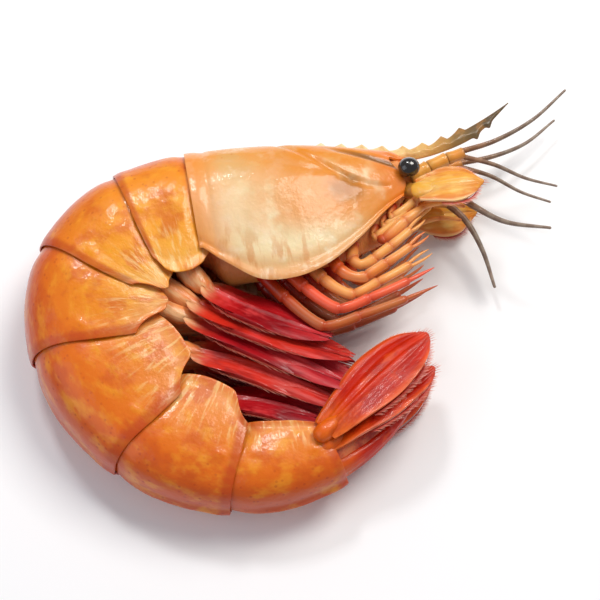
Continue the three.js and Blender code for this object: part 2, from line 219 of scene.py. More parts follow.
def finishWith(obj, kind, **settings):
    makeActive(obj)
    modifier = obj.modifiers.new(kind.title(), kind)
    for key, value in settings.items():
        setattr(modifier, key, value)
    bpy.ops.object.modifier_apply(modifier=modifier.name)


def rounded(obj):
    finishWith(obj, "SUBSURF", levels=1, render_levels=1)


def thicken(obj, wall, roundEdge, offset=-1, cornerAngle=55):
    # Gives a sheet its wall, and rounds the wall's edges
    finishWith(obj, "SOLIDIFY", thickness=wall * mm, offset=offset)
    corners = {"limit_method": "ANGLE", "angle_limit": math.radians(cornerAngle)}
    finishWith(obj, "BEVEL", width=roundEdge * mm, segments=2, **corners)


def sheet(name, columns, rows, form, closed=False):
    # A grid whose points form(across, along) lays out, both from 0 to 1
    deselect()
    bpy.ops.mesh.primitive_grid_add(x_subdivisions=columns, y_subdivisions=rows, size=2 * mm)
    obj = bpy.context.object
    obj.name = name
    across, along = (readPoints(obj).T[:2] + 1) / 2
    keepOnPoints(obj, "onSheet", np.abs(2 * across - 1), along)
    points = form(across, along)
    writePoints(obj, points)
    keepOnPoints(obj, "straight", *points.T * mm)
    if closed:
        editAll(obj, mergeDoubles)
    faceOutwards(obj)
    return obj


def limb(name, stations, sides=10):
    # A disc extruded from station to station along x: each is [place, radius]
    deselect()
    place, radius = stations[0]
    bpy.ops.mesh.primitive_circle_add(
        vertices=sides, radius=radius * mm, fill_type="NGON",
        location=(place * mm, 0, 0), rotation=(0, math.radians(-90), 0),
    )
    obj = bpy.context.object
    obj.name = name
    bpy.ops.object.transform_apply(location=True, rotation=True, scale=True)
    bpy.ops.object.mode_set(mode="EDIT")
    bpy.ops.mesh.select_all(action="SELECT")
    for nextPlace, nextRadius in stations[1:]:
        step = {"value": ((nextPlace - place) * mm, 0, 0)}
        bpy.ops.mesh.extrude_region_move(TRANSFORM_OT_translate=step)
        ratio = nextRadius / radius
        bpy.ops.transform.resize(value=(1, ratio, ratio), center_override=(nextPlace * mm, 0, 0))
        place, radius = nextPlace, nextRadius
    bpy.ops.object.mode_set(mode="OBJECT")
    faceOutwards(obj)
    keepOnPoints(obj, "straight", *readPoints(obj).T * mm)
    return obj


def copyOf(obj, name):
    twin = obj.copy()
    twin.data = obj.data.copy()
    twin.name = name
    bpy.context.collection.objects.link(twin)
    return twin


def joined(name, parts):
    deselect()
    for part in parts:
        part.select_set(True)
    bpy.context.view_layer.objects.active = parts[0]
    bpy.ops.object.join()
    parts[0].name = name
    return parts[0]


def discard(*objects):
    for obj in objects:
        bpy.data.objects.remove(obj)


def mirror(obj, height=0.0):
    # Turned over a level plane, with the faces turned back outwards
    points = readPoints(obj)
    points[:, 2] = 2 * height - points[:, 2]
    writePoints(obj, points)
    editAll(obj, bpy.ops.mesh.flip_normals)


def layDown(obj, side, middle):
    # Lays down a piece that is bent already, mirrored over its middle if it is a left one
    if side < 0:
        mirror(obj, middle)
    writePoints(obj, laidDown(readPoints(obj)))


def curl(obj, side=1):
    # Bends a straight piece and lays it down, mirrored first if it is a left one. The bend
    # turns it inside out, so its faces are turned back outwards
    if side < 0:
        mirror(obj)
    writePoints(obj, laidDown(inPlan(*readPoints(obj).T)))
    editAll(obj, bpy.ops.mesh.flip_normals)


def turning(yaw, pitch, roll):
    # A turn about x, y and z, in degrees, for points that stand to its left
    turned = Matrix.Identity(3)
    for angle, axis in ((yaw, "Z"), (pitch, "Y"), (roll, "X")):
        turned = turned @ Matrix.Rotation(math.radians(angle), 3, axis)
    return np.array(turned).T


def unit(vectors):
    return vectors / np.linalg.norm(vectors, axis=-1, keepdims=True)


def blend(first, second, start, end, t):
    return ((end - t) * first + (t - start) * second) / (end - start)


def smoothRoute(points, count=90):
    # A smooth curve through a few points, cut into even steps
    p = np.array(points, float)
    p = np.vstack([2 * p[0] - p[1], p, 2 * p[-1] - p[-2]])
    knots = np.concatenate([[0], np.cumsum(np.linalg.norm(np.diff(p, axis=0), axis=1) ** 0.5)])
    found = []
    for i in range(1, len(p) - 2):
        for t in np.linspace(knots[i], knots[i + 1], 30):
            a = [blend(p[j], p[j + 1], knots[j], knots[j + 1], t) for j in (i - 1, i, i + 1)]
            b = [blend(a[j], a[j + 1], knots[i + j - 1], knots[i + j + 1], t) for j in (0, 1)]
            found.append(blend(b[0], b[1], knots[i], knots[i + 1], t))
    found = np.array(found)
    run = np.concatenate([[0], np.cumsum(np.linalg.norm(np.diff(found, axis=0), axis=1))])
    even = np.linspace(0, run[-1], count)
    return np.stack([np.interp(even, run, found[:, k]) for k in range(3)], 1)


def headRoute(points):
    # A route in the head, each point given forwards, towards the back and towards the right
    return smoothRoute([[-x, y, z] for x, y, z in points])


def bentAlong(points, route, up=(0, 0, 1)):
    # x from 0 to 1 runs along the route, z stands up from it
    steps = np.linspace(0, 1, len(route))
    t = points[:, 0]
    direction = unit(np.gradient(route, axis=0))
    centre = np.stack([np.interp(t, steps, route[:, k]) for k in range(3)], 1)
    forward = unit(np.stack([np.interp(t, steps, direction[:, k]) for k in range(3)], 1))
    length = np.linalg.norm(np.diff(route, axis=0), axis=1).sum()
    centre += forward * ((t - np.clip(t, 0, 1)) * length)[:, None]
    across = unit(np.cross(np.array(up, float), forward))
    upward = np.cross(forward, across)
    return centre + across * points[:, 1:2] + upward * points[:, 2:3]


def lumps(points, size, seed=0.0):
    # Soft unevenness from -1 to 1, about size apart
    offset = Vector((seed, seed * 0.37, 0))
    return np.array([noise.noise(Vector(p) / size + offset) for p in points])


def makePiece(obj, finish, slot, *nodes, sharp=50):
    # Shading, finish and place in the frame of a finished piece
    makeActive(obj)
    bpy.ops.object.shade_smooth_by_angle(angle=math.radians(sharp))
    obj.data.materials.clear()
    obj.data.materials.append(finishes[finish])
    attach(obj, "root")
    if nodes:
        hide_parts(*nodes)


# Materials

def linear(hexColour):
    # An sRGB hex colour as linear light
    channels = [int(hexColour[i:i + 2], 16) / 255 for i in (1, 3, 5)]
    return (*[c / 12.92 if c <= 0.04045 else ((c + 0.055) / 1.055) ** 2.4 for c in channels], 1)


def addNode(tree, kind, settings, inputs, output=0):
    # One node with its settings, its values and its links, where hex text is a colour; gives
    # back the socket that the next node reads
    node = tree.nodes.new(kind)
    for key, value in settings.items():
        if key == "stops":
            while len(node.color_ramp.elements) < len(value):
                node.color_ramp.elements.new(1)
            for element, (place, colour) in zip(node.color_ramp.elements, value):
                element.position, element.color = place, linear(colour)
        else:
            setattr(node, key, value)
    for key, value in inputs.items():
        if isinstance(value, bpy.types.NodeSocket):
            tree.links.new(value, node.inputs[key])
        else:
            node.inputs[key].default_value = linear(value) if isinstance(value, str) else value
    return node.outputs[output]


def newMaterial(name, finish):
    material = bpy.data.materials.new(name)
    material.use_nodes = True
    shader = material.node_tree.nodes["Principled BSDF"]
    for socket, value in finish.items():
        shader.inputs[socket].default_value = value
    return material, material.node_tree, shader


keptValues = {"straight": ("back", "up"), "onSheet": ("side", "along"), "onLeg": ("along", "tint", "joint")}


def readValues(tree, name):
    # The vector that the points keep under a name, and its values
    vector = addNode(tree, "ShaderNodeAttribute", {"attribute_name": name}, {}, "Vector")
    split = addNode(tree, "ShaderNodeSeparateXYZ", {}, {0: vector})
    return vector, dict(zip(keptValues[name], split.node.outputs))


def zone(tree, value, rise, fall=None):
    # 1 where a value is past its rise and not yet past its fall, with soft ends
    inside = None
    for low, high in [rise, fall[::-1]] if fall else [rise]:
        span = {"Value": value, "From Min": low, "From Max": high}
        soft = addNode(tree, "ShaderNodeMapRange", {"interpolation_type": "SMOOTHSTEP"}, span)
        both = {0: inside, 1: soft}
        inside = addNode(tree, "ShaderNodeMath", {"operation": "MULTIPLY"}, both) if inside else soft
    return inside


def cloudy(tree, places, size, stretch=(1, 1, 1), detail=3.0):
    # Cloudiness about size millimetres from patch to patch, closer where it is stretched
    drawn = addNode(tree, "ShaderNodeVectorMath", {"operation": "MULTIPLY"}, {0: places, 1: stretch})
    cloud = {"Vector": drawn, "Scale": 1 / (size * mm), "Detail": detail, "Roughness": 0.55}
    return addNode(tree, "ShaderNodeTexNoise", {}, cloud)


def maskOf(tree, values, kind, *settings):
    # Where a coat shows: cloud, blotches, dots of a radius some way apart, or a zone of a value
    if kind == "cloud":
        return cloudy(tree, values["place"], *settings)
    if kind == "blotches":
        size, cover, *stretch = settings
        return zone(tree, cloudy(tree, values["place"], size, *stretch), cover)
    if kind == "dots":
        apart, radius = settings
        grid = {"Vector": values["place"], "Scale": 1 / (apart * mm)}
        size = radius / apart
        return zone(tree, addNode(tree, "ShaderNodeTexVoronoi", {}, grid), (size * 1.4, size * 0.6))
    return zone(tree, values[kind], *settings) if settings else values[kind]


def mixFinish(recipe):
    # A base colour, or colours along a value, then coats through their masks, and a relief of
    # a depth in millimetres from layers of size, weight and stretch, pitted unless it is raised
    material, tree, shader = newMaterial(recipe["name"], recipe["surface"])
    place, values = readValues(tree, "straight")
    values.update(readValues(tree, recipe["reads"])[1], place=place)
    if "drawn" in recipe:
        values.update(recipe["drawn"](tree, values))
    colour = recipe.get("base")
    if not colour:
        value, stops = recipe["ramp"]
        colour = addNode(tree, "ShaderNodeValToRGB", {"stops": stops}, {"Fac": values[value]})
    for coat, share, *masks in recipe["coats"]:
        for mask in masks:
            shown = {0: share, 1: maskOf(tree, values, *mask)}
            share = addNode(tree, "ShaderNodeMath", {"operation": "MULTIPLY"}, shown)
        colour = addNode(tree, "ShaderNodeMix", {"data_type": "RGBA"}, {0: share, 6: colour, 7: coat}, 2)
    tree.links.new(colour, shader.inputs["Base Color"])
    depth, *layers = recipe["relief"]
    height = 0.0
    for size, weight, *stretch in layers:
        layer = {0: cloudy(tree, place, size, *stretch, detail=2.0), 1: weight, 2: height}
        height = addNode(tree, "ShaderNodeMath", {"operation": "MULTIPLY_ADD"}, layer)
    if layers:
        relief = {"Height": height, "Distance": depth * mm, "Strength": 0.9}
        bump = addNode(tree, "ShaderNodeBump", {"invert": not recipe.get("raised")}, relief)
        for socket in ("Normal", "Coat Normal"):
            tree.links.new(bump, shader.inputs[socket])
    return material


# Cooked shell is thin chitin, wet with its own juice: a clear film over a coloured body that
# lets a little light in
wetShell = {
    "Roughness": 0.38, "IOR": 1.38, "Coat Weight": 0.6, "Coat Roughness": 0.06, "Coat IOR": 1.33,
    "Subsurface Weight": 0.12, "Subsurface Radius": (1.0, 0.42, 0.18), "Subsurface Scale": 1.6 * mm,
}
headMarks = {
    "liver": (8.5 * mm, -1.8 * mm, 0), "liverSquash": (1, 1.2, 0), "ragged": 3 * mm, "socketSlope": 0.42,
}


def headLines(tree, values):
    # How far a point is from the liver, unevenly, and how far above the eye groove's line
    middle = {0: values["place"], 1: headMarks["liver"]}
    away = addNode(tree, "ShaderNodeVectorMath", {"operation": "SUBTRACT"}, middle)
    squashed = {0: away, 1: headMarks["liverSquash"]}
    flat = addNode(tree, "ShaderNodeVectorMath", {"operation": "MULTIPLY"}, squashed)
    reach = addNode(tree, "ShaderNodeVectorMath", {"operation": "LENGTH"}, {0: flat}, "Value")
    sums = {
        "fromLiver": {0: cloudy(tree, values["place"], 1.6), 1: headMarks["ragged"], 2: reach},
        "overLine": {0: values["back"], 1: -headMarks["socketSlope"], 2: values["up"]},
    }
    multiplyAdd = {"operation": "MULTIPLY_ADD"}
    return {name: addNode(tree, "ShaderNodeMath", multiplyAdd, parts) for name, parts in sums.items()}


recipes = {
    # Abdomen shell: amber, deep orange on the back and peach on the side plates, with cream
    # streaks, thin red joint lines and fine red dots, under a wet gloss
    "body": {
        "name": "wetAmberShell", "surface": wetShell, "reads": "onSheet",
        "ramp": ("side", [
            (0, "#a82400"), (0.1, "#be3a00"), (0.26, "#d65c00"), (0.48, "#e87c00"),
            (0.66, "#f0900c"), (0.82, "#f0a038"), (0.94, "#f2b468"), (1, "#e08030"),
        ]),
        "coats": [
            # Golden next to the head, and deeper orange from the middle of the abdomen on
            ("#f8a01c", 0.5, ("side", (0.12, 0.4)), ("back", (50 * mm, 34 * mm))),
            ("#de5a00", 0.5, ("back", (46 * mm, 60 * mm))),
            ("#c84a00", 0.55, ("blotches", 3.8, (0.46, 0.64))),
            ("#f8ae28", 0.44, ("blotches", 2.6, (0.46, 0.74), (1, 1.5, 1.3))),
            ("#fad08c", 0.6, ("blotches", 2.8, (0.5, 0.66), (4, 0.8, 0.8)), ("side", (0.56, 0.84))),
            # The rear edge is a thin red line, and the front is darker with painted shade
            # where it slides under the plate in front
            ("#b83a08", 0.6, ("along", (0.9, 0.955))),
            # Painted shade: each plate's front is deeper orange where it lies under the plate ahead
            ("#c04a0a", 0.5, ("along", (0.3, 0.16))),
            ("#ac2a08", 0.5, ("dots", 0.9, 0.16), ("side", (0.8, 0.1))),
        ],
        "relief": (0.09, (0.35, 0.35), (1.5, 1.0)),
    },
    # Head shell: pale cream sides over the gills, golden high up near the eyes, with the brown
    # of the liver showing through, and behind each eye a groove painted dark olive, partly its
    # own colour and partly painted shade
    "head": {
        "name": "wetCreamShell", "surface": wetShell, "reads": "onSheet", "drawn": headLines,
        "ramp": ("side", [
            (0, "#d8a870"), (0.14, "#d8984c"), (0.26, "#e09c4c"), (0.42, "#e8b474"), (0.58, "#eed0a2"),
            (0.72, "#f2dcb4"), (0.86, "#f0d6a8"), (0.94, "#e4b078"), (1, "#e09c60"),
        ]),
        "coats": [
            ("#c4b684", 0.35, ("blotches", 4.6, (0.48, 0.7))),
            ("#f6e4c4", 0.5, ("blotches", 2.6, (0.5, 0.68))),
            # Golden from the eyes back, above the middle of the side
            (
                "#e08200", 0.88, ("up", (-9 * mm, -4.5 * mm), (5 * mm, 8 * mm)),
                ("back", (28 * mm, 12 * mm)), ("blotches", 3.4, (0.2, 0.52)),
            ),
            ("#e6781c", 0.85, ("along", (0.2, 0.0))),
            ("#ea8414", 0.75, ("along", (0.78, 0.99))),
            # The liver, a ragged brown patch 5 mm across, and the groove behind the eye socket,
            # painted dark olive, partly as its own colour and partly as painted shade
            ("#aa6400", 0.85, ("fromLiver", (5.2 * mm, 2.2 * mm))),
            (
                "#6e4a1c", 0.85, ("overLine", (-0.1 * mm, 0.5 * mm), (0.8 * mm, 1.4 * mm)),
                ("back", (12 * mm, 4 * mm)),
            ),
            # Gill streaks low on the side
            (
                "#d08440", 0.6, ("blotches", 3.2, (0.48, 0.64), (2.8, 0.7, 0.8)),
                ("side", (0.7, 0.9)), ("along", (0.3, 0.6)),
            ),
            ("#c4571c", 0.45, ("dots", 1.0, 0.15), ("side", (0.6, 0.05))),
        ],
        "relief": (0.08, (0.35, 0.3), (1.6, 1.0)),
    },
    # The spike's shell: cream along the head, golden over the eyes, dark olive towards its tip
    "spike": {
        "name": "wetSpikeShell", "surface": wetShell, "reads": "onSheet",
        "ramp": ("along", [
            (0, "#eed6a4"), (0.48, "#ecca8c"), (0.62, "#d6a860"), (0.74, "#8a6a3a"),
            (0.86, "#584830"), (1, "#5e4e34"),
        ]),
        "coats": [("#c0843a", 0.4, ("blotches", 1.4, (0.45, 0.65)))],
        "relief": (0.06, (0.5, 1.0)),
    },
    # Tail fan: thin red shell, orange at its root and coral pink at its rims
    "tail": {
        "name": "wetRedShell", "surface": wetShell | {"Coat Weight": 0.3}, "reads": "onSheet",
        "ramp": ("side", [
            (0, "#d02c00"), (0.5, "#c01c00"), (0.74, "#c42400"), (0.9, "#e0501c"), (1, "#ec7448"),
        ]),
        "coats": [
            ("#e46a08", 0.8, ("along", (0.3, 0.0))),
            ("#e0583c", 0.5, ("along", (0.88, 1.0))),
            ("#8c0800", 0.4, ("blotches", 3.0, (0.48, 0.66), (0.6, 1.6, 1.6))),
            ("#f46020", 0.4, ("blotches", 2.2, (0.54, 0.7), (0.6, 1.8, 1.8))),
        ],
        "relief": (0.08, (0.4, 0.5), (1.2, 1.0, (0.4, 3, 3))), "raised": True,
    },
    # Walking legs: thin orange shell over pale flesh, crimson near the body, with redder
    # joints. Each has its own tint: 0 orange, 1 coral pink, 2 golden, and -1 a dark crimson
    # that is painted shade for legs that lie in shadow
    "leg": {
        "name": "wetLegShell", "surface": wetShell | {"Coat Weight": 0.5}, "reads": "onLeg",
        "ramp": ("along", [
            (0, "#b01c08"), (0.14, "#c83810"), (0.26, "#e06824"), (0.5, "#ee8c3c"),
            (0.8, "#f09c50"), (1, "#e0703a"),
        ]),
        "coats": [
            ("#fac890", 0.7, ("blotches", 1.8, (0.44, 0.6)), ("along", (0.2, 0.4))),
            ("#f2503a", 0.8, ("tint", (0.2, 1.0), (1.1, 1.4)), ("along", (0.1, 0.3))),
            ("#f6b060", 0.85, ("tint", (1.1, 2.0)), ("along", (0.0, 0.25))),
            # Painted shade: legs with a tint below 0 lie in shadow and are painted dark crimson
            ("#8a0606", 0.85, ("tint", (0.0, -1.0))),
            ("#b4260c", 0.5, ("joint",)),
        ],
        "relief": (0.06, (0.5, 1.0)),
    },
    # Swimming legs: peach stems streaked with cream, and crimson leaves with pink blotches
    # that are painted highlights
    "swimmer": {
        "name": "wetCrimsonLeaf", "reads": "onLeg",
        "surface": wetShell | {"Coat Weight": 0.3, "Subsurface Radius": (1.0, 0.2, 0.15)},
        "ramp": ("along", [
            (0, "#f0a060"), (0.36, "#ec9050"), (0.46, "#c83420"), (0.58, "#ae0a14"),
            (0.86, "#a40616"), (1, "#bc2c34"),
        ]),
        "coats": [
            ("#f8d09c", 0.55, ("along", (0.52, 0.36)), ("blotches", 2.0, (0.46, 0.62), (0.5, 2, 2))),
            ("#e0341c", 0.65, ("along", (0.42, 0.52)), ("tint", (0.5, 1.0))),
            ("#6e000e", 0.6, ("along", (0.42, 0.52)), ("blotches", 3.2, (0.46, 0.64))),
            # Painted highlights: pink blotches over the leaves
            ("#ee4c4c", 0.5, ("along", (0.42, 0.52)), ("blotches", 2.8, (0.54, 0.68))),
        ],
        "relief": (0.12, (0.6, 0.6, (0.5, 1.6, 1.6)), (1.6, 1.4)),
    },
    # Cooked flesh and its thin skin between the shells: opaque, orange-red, moist
    "flesh": {
        "name": "moistFlesh", "reads": "onSheet", "base": "#b8280e",
        "surface": {
            "Roughness": 0.42, "Coat Weight": 0.4, "Coat Roughness": 0.15, "Subsurface Weight": 0.3,
            "Subsurface Radius": (1.0, 0.4, 0.25), "Subsurface Scale": 2.0 * mm,
        },
        "coats": [
            ("#e87844", 1.0, ("blotches", 2.0, (0.4, 0.66))),
            ("#e8964a", 0.85, ("along", (0.3, 0.24))),
        ],
        "relief": (0.12, (0.7, 1.0, (2, 1, 1))),
    },
    # Feeler scales: stiff, translucent, golden yellow
    "scale": {
        "name": "wetGoldenShell", "surface": wetShell, "reads": "onSheet",
        "ramp": ("side", [(0, "#e8a638"), (0.6, "#e69a34"), (0.86, "#dd7e32"), (1, "#f2c690")]),
        "coats": [
            ("#f6d078", 0.6, ("blotches", 2.0, (0.48, 0.66), (0.5, 1.4, 1))),
            ("#cf6a20", 0.5, ("blotches", 2.6, (0.5, 0.68), (0.5, 1.6, 1))),
        ],
        "relief": (0.07, (0.5, 1.0, (0.5, 2, 1))),
    },
    # Feelers: golden jointed stalks, and stiff ringed whips in grey-brown
    "feeler": {
        "name": "ringedFeeler", "reads": "onLeg",
        "surface": wetShell | {"Roughness": 0.4, "Coat Weight": 0.5, "Subsurface Weight": 0.05},
        "ramp": ("along", [
            (0, "#e6a23e"), (0.22, "#e09038"), (0.32, "#9c6a44"), (0.6, "#83705e"), (1, "#9a8a7c"),
        ]),
        "coats": [
            ("#f2c068", 0.5, ("blotches", 1.4, (0.46, 0.64)), ("along", (0.3, 0.2))),
            ("#5c3a26", 0.6, ("joint",)),
        ],
        "relief": (0.04, (0.5, 1.0)),
    },
    # Bristles of the fringes: fine horny hairs, red at the root and pale at the tip
    "hair": {
        "name": "redBristle", "reads": "onLeg",
        "surface": {"Roughness": 0.4, "Coat Weight": 0.3, "Coat Roughness": 0.2},
        "ramp": ("along", [(0, "#a82420"), (0.5, "#cc604c"), (1, "#e8b09c")]),
        "coats": [], "relief": (0,),
    },
    # The eye: a glossy black bead, with facets too fine to see one by one
    "eye": {
        "name": "glossyBlackEye", "reads": "onSheet", "base": "#070506",
        "surface": {"Roughness": 0.14, "IOR": 1.5, "Coat Weight": 1.0, "Coat Roughness": 0.03},
        "coats": [("#20140f", 1.0, ("cloud", 0.9))],
        "relief": (0.01, (0.12, 1.0)),
    },
    # Eye stalks: smooth orange shell
    "stalk": {
        "name": "wetStalkShell", "surface": wetShell, "reads": "onSheet", "base": "#d98a34",
        "coats": [("#9c5420", 1.0, ("blotches", 1.0, (0.42, 0.66)))],
        "relief": (0.05, (0.4, 1.0)),
    },
}
finishes = {name: mixFinish(recipe) for name, recipe in recipes.items()}
print("Finishes mixed:", ", ".join(finishes))


# Shell plates of the abdomen

plates = {
    "columns": 110, "rows": 40,
    "wall": 0.26, "roundEdge": 0.07,
    "tuck": 0.2,           # share of its length that slides under the plate in front
    "lip": 0.09,           # and that lies over the next one
    "drops": [3.1, 4.2, 4.9, 5, 4, 0.9],            # how far the side plates hang below the belly
    "fans": [0.3, 1.0, 1.15, 0.9, 0.65, 0.15],      # how much wider they are low down
    "roundCorner": 0.66,
    "keels": [0, 0, 0.1, 0.3, 0.5, 0.55],
    "hang": [
        [-0.2, 0.1], [0, 0.2], [0.14, 0.72], [0.36, 1], [0.62, 0.96], [0.8, 0.78], [0.95, 0.46],
        [1.09, 0.02],
    ],
    "lift": [
        [-0.2, -0.44], [0, -0.36], [0.12, -0.27], [0.2, -0.08], [0.27, 0], [0.5, 0.03],
        [0.85, 0.02], [0.95, 0.1], [1.02, 0.14], [1.09, 0.06],
    ],
    "overlap": 1.15,       # how far the side plates stand apart where they overlap
    "rolledEdge": 0.14, "edgeGroove": 0.1,
    "bosses": [[0.9, 0.2, 0.35], [0.25, -0.12, 0.5]],    # at each hinge: place, height, spread
    "lumps": 0.05,
}
hangAt, liftAt = profile(plates["hang"]), profile(plates["lift"])


def roundShare(side):
    # How high on the round back a place is: 1 on its middle line, 0 where the side plate begins
    return np.cos(np.clip(side / body["sideShare"], 0, 1) * math.pi / 2)


def plateShare(side):
    # How far down the side plate a place is, from 0 to 1
    return np.clip((side - body["sideShare"]) / (1 - body["sideShare"]), 0, 1)


def shellSection(s, side, drop, lift):
    # Half a cross-section: a round back, then a side plate that hangs below the belly. Towards
    # the side the back turns less and less, so that no line shows where the plate begins
    back, plate, wide = backHeight(s), bellyDepth(s) + drop, halfWidth(s)
    height, low = roundShare(side), plateShare(side)
    (square, fourth), (inwards, outwards) = body["backBulge"], body["plateTaper"]
    bulge = np.sqrt(np.clip(1 - square * height**2 - fourth * height**4, 0, 1))
    flank = wide * (1 - inwards * low**2 + outwards * low**3) + lift
    depth = np.where(low > 0, -plate * low, (back + lift) * height)
    return depth, np.where(low > 0, flank, (wide + lift) * bulge), back, plate


def onFloor(s, out, sign):
    # The left side is pressed flat where it would go through the floor
    return np.where(sign < 0, np.maximum(out * sign, body["floorGap"] * 2 - restHeight(s)), out * sign)


def plateForm(number):
    start, length = joints[number], body["segmentLengths"][number - 1]
    drop, fan, keel = (plates[key][number - 1] for key in ("drops", "fans", "keels"))
    sweepFront, sweepRear = body["jointSweeps"][number - 1:number + 1]

    def form(across, along):
        side, sign = np.abs(2 * across - 1), np.sign(2 * across - 1)
        t = -plates["tuck"] + along * (1 + plates["tuck"] + plates["lip"])
        s = start + length * t
        low = plateShare(side)
        lift = liftAt(t) + plates["overlap"] * (t - 0.5) * low
        # A rolled lower edge with a shallow groove above it, and a boss at each hinge
        lift = lift + plates["rolledEdge"] * low**8 - plates["edgeGroove"] * hump(low, 0.84, 0.08)
        reach = (side - body["sideShare"]) * (backHeight(s) + bellyDepth(s)) * 1.4
        for place, height, spread in plates["bosses"]:
            lift = lift + height * np.exp(-((reach - 0.3) ** 2 + ((t - place) * length) ** 2) / spread)
        depth, out, back, plate = shellSection(s, side, drop * hangAt(t), lift)
        depth = depth + keel * hump(out, 0, 0.55) * smoothStep(t, -0.1, 0.5) * (low == 0)
        sweep = sweepFront + (sweepRear - sweepFront) * t
        # Low down the plate is wider, but its rear corner is round
        wider = t - 0.5 - plates["roundCorner"] * smoothStep(t, 0.55, 1.09)
        s = s + sweep * ((back - depth) / (back + plate)) ** 2 + fan * low**1.6 * wider * length
        points = np.stack([s, depth, out], 1)
        uneven = plates["lumps"] * lumps(points, 2.6, number * 7.0)
        uneven = uneven + 0.5 * plates["lumps"] * lumps(points, 1.1, 3.0)
        out = out + uneven * np.clip(side * 2.5, 0.2, 1)
        depth = depth + uneven * (1 - np.clip(side * 2, 0, 1))
        return np.stack([s, depth, onFloor(s, out, sign)], 1)
    return form


for number in range(1, 7):
    shell = sheet(f"shellPlate{number}", plates["columns"], plates["rows"], plateForm(number))
    thicken(shell, plates["wall"], plates["roundEdge"])
    curl(shell)
    makePiece(shell, "body", "body_shell", f"abdomen_{number}")
print("Abdomen: six shell plates, each tucked under the one in front")


# Head shell

headCase = {
    "columns": 170, "rows": 100,
    "wall": 0.3, "roundEdge": 0.08,
    "rear": 28.5,
    "drop": [[0, 0.3], [4, 1.3], [8, 3.5], [12.5, 5.6], [17, 6.5], [21.5, 5.9], [25, 3.3], [28, 0.6]],
    # How far behind the eye sockets its front edge is, from the top round to the lower corner
    "front": [
        [0, -0.6], [0.1, -0.6], [0.18, -0.1], [0.26, 1.1], [0.36, 1.9], [0.46, 1.2], [0.56, 0.9],
        [0.75, 0.3], [1, 0.9],
    ],
    "rimTurn": 0.75,
    "cheekSpine": 1.5,
    # Where the neck's groove crosses the back, and how far it comes forwards down the side;
    # where the gill's groove starts down the side, and how far it climbs; where the cheek's is
    "neckLine": (18.5, 11), "gillLine": (0.5, 0.17), "cheekLine": 0.58,
    # Grooves and bulges: height, width, and where each fades in or out
    "neck": [-0.34, 0.75, (0.03, 0.12), (0.64, 0.56)],
    "gill": [-0.16, 0.035, (8, 11), (27, 23)],
    "cheek": [-0.24, 0.03, (2, 3.5), (9, 7)],
    "socket": [-0.3, 0.5, (11, 8)],
    "gillBulge": [0.12, 0.16, (7, 13)],
    "bead": [0.15, 0.045], "beadGroove": [-0.12, 0.05], "rearGroove": [-0.14, 0.5],
    "rearRim": 0.1,
    "ridge": [0.4, 0.6, (26, 12)],
    "lumps": 0.07,
}
headDrop, frontEdge = profile(headCase["drop"]), profile(headCase["front"])


def carved(name, value, middle, place=None):
    # A groove or bulge where a value is near its middle
    height, width, *fades = headCase[name]
    lift = height * hump(value, middle, width)
    for low, high in fades:
        lift = lift * smoothStep(place, low, high)
    return lift


def headForm(across, along):
    side, sign = np.abs(2 * across - 1), np.sign(2 * across - 1)
    front = frontEdge(side) - headCase["cheekSpine"] * hump(side, 0.55, 0.022)
    s = front + along * (headCase["rear"] - front)
    low = plateShare(side)
    # The groove across the neck, and those along the gills, at the cheek and behind the eye
    (crossing, forwards), (gill, climb) = headCase["neckLine"], headCase["gillLine"]
    lift = carved("neck", s, crossing - forwards * (np.clip(side, 0, 0.6) / 0.58) ** 1.3, side)
    lift = lift + carved("gill", side, gill - climb * smoothStep(s, 9, 25), s)
    lift = lift + carved("cheek", side, headCase["cheekLine"] + (7.5 - s) / 4.5 * 0.14, s)
    height = backHeight(s) * roundShare(side)
    lift = lift + carved("socket", height, 0.65 + headMarks["socketSlope"] * s, s)
    # Over the eye socket the rim turns inwards
    lift = lift - headCase["rimTurn"] * smoothStep(side, 0.34, 0.2) * smoothStep(along, 0.06, 0.0)
    # The gills bulge the side, and the lower edge is a bead with a groove above it
    lift = lift + carved("gillBulge", side, 0.74, s)
    lift = lift + carved("bead", low, 0.97) + carved("beadGroove", low, 0.87)
    # The rear edge: a shallow groove, then a raised rim over the first plate
    lift = lift + carved("rearGroove", s, 26.3) + headCase["rearRim"] * smoothStep(s, 26.8, 27.8)
    depth, out = shellSection(s, side, headDrop(s), lift)[:2]
    depth = depth + carved("ridge", out, 0, s) * (low == 0)
    points = np.stack([s, depth, out], 1)
    uneven = headCase["lumps"] * lumps(points, 4.0, 5.0)
    uneven = uneven + 0.4 * headCase["lumps"] * lumps(points, 1.3, 9.0)
    out = out + uneven * np.clip(side * 2.5, 0.2, 1)
    return np.stack([s, depth, onFloor(s, out, sign)], 1)


shell = sheet("headShell", headCase["columns"], headCase["rows"], headForm)
thicken(shell, headCase["wall"], headCase["roundEdge"])
curl(shell)
makePiece(shell, "head", "head_shell", "carapace")

spike = {
    "reach": 16.3, "start": -16, "straightTo": 3,     # forwards of the eye sockets
    "overShell": 0.6, "overEyes": 4.7, "climb": 4.8,  # how high its ridge is without the teeth
    "firstTooth": -12, "toothStep": 2.7, "teeth": 8, "toothHeight": 0.75, "peak": 0.72,
    "halfThick": 0.5,
    "under": [[-16, 4.6], [-4, 3.1], [0.5, 3], [5, 3.4], [10, 4.8], [13, 6.7], [16.3, 9.35]],
    "underTeeth": [11.0, 13.0], "underTooth": 0.6,
}
spikeUnder = profile(spike["under"])


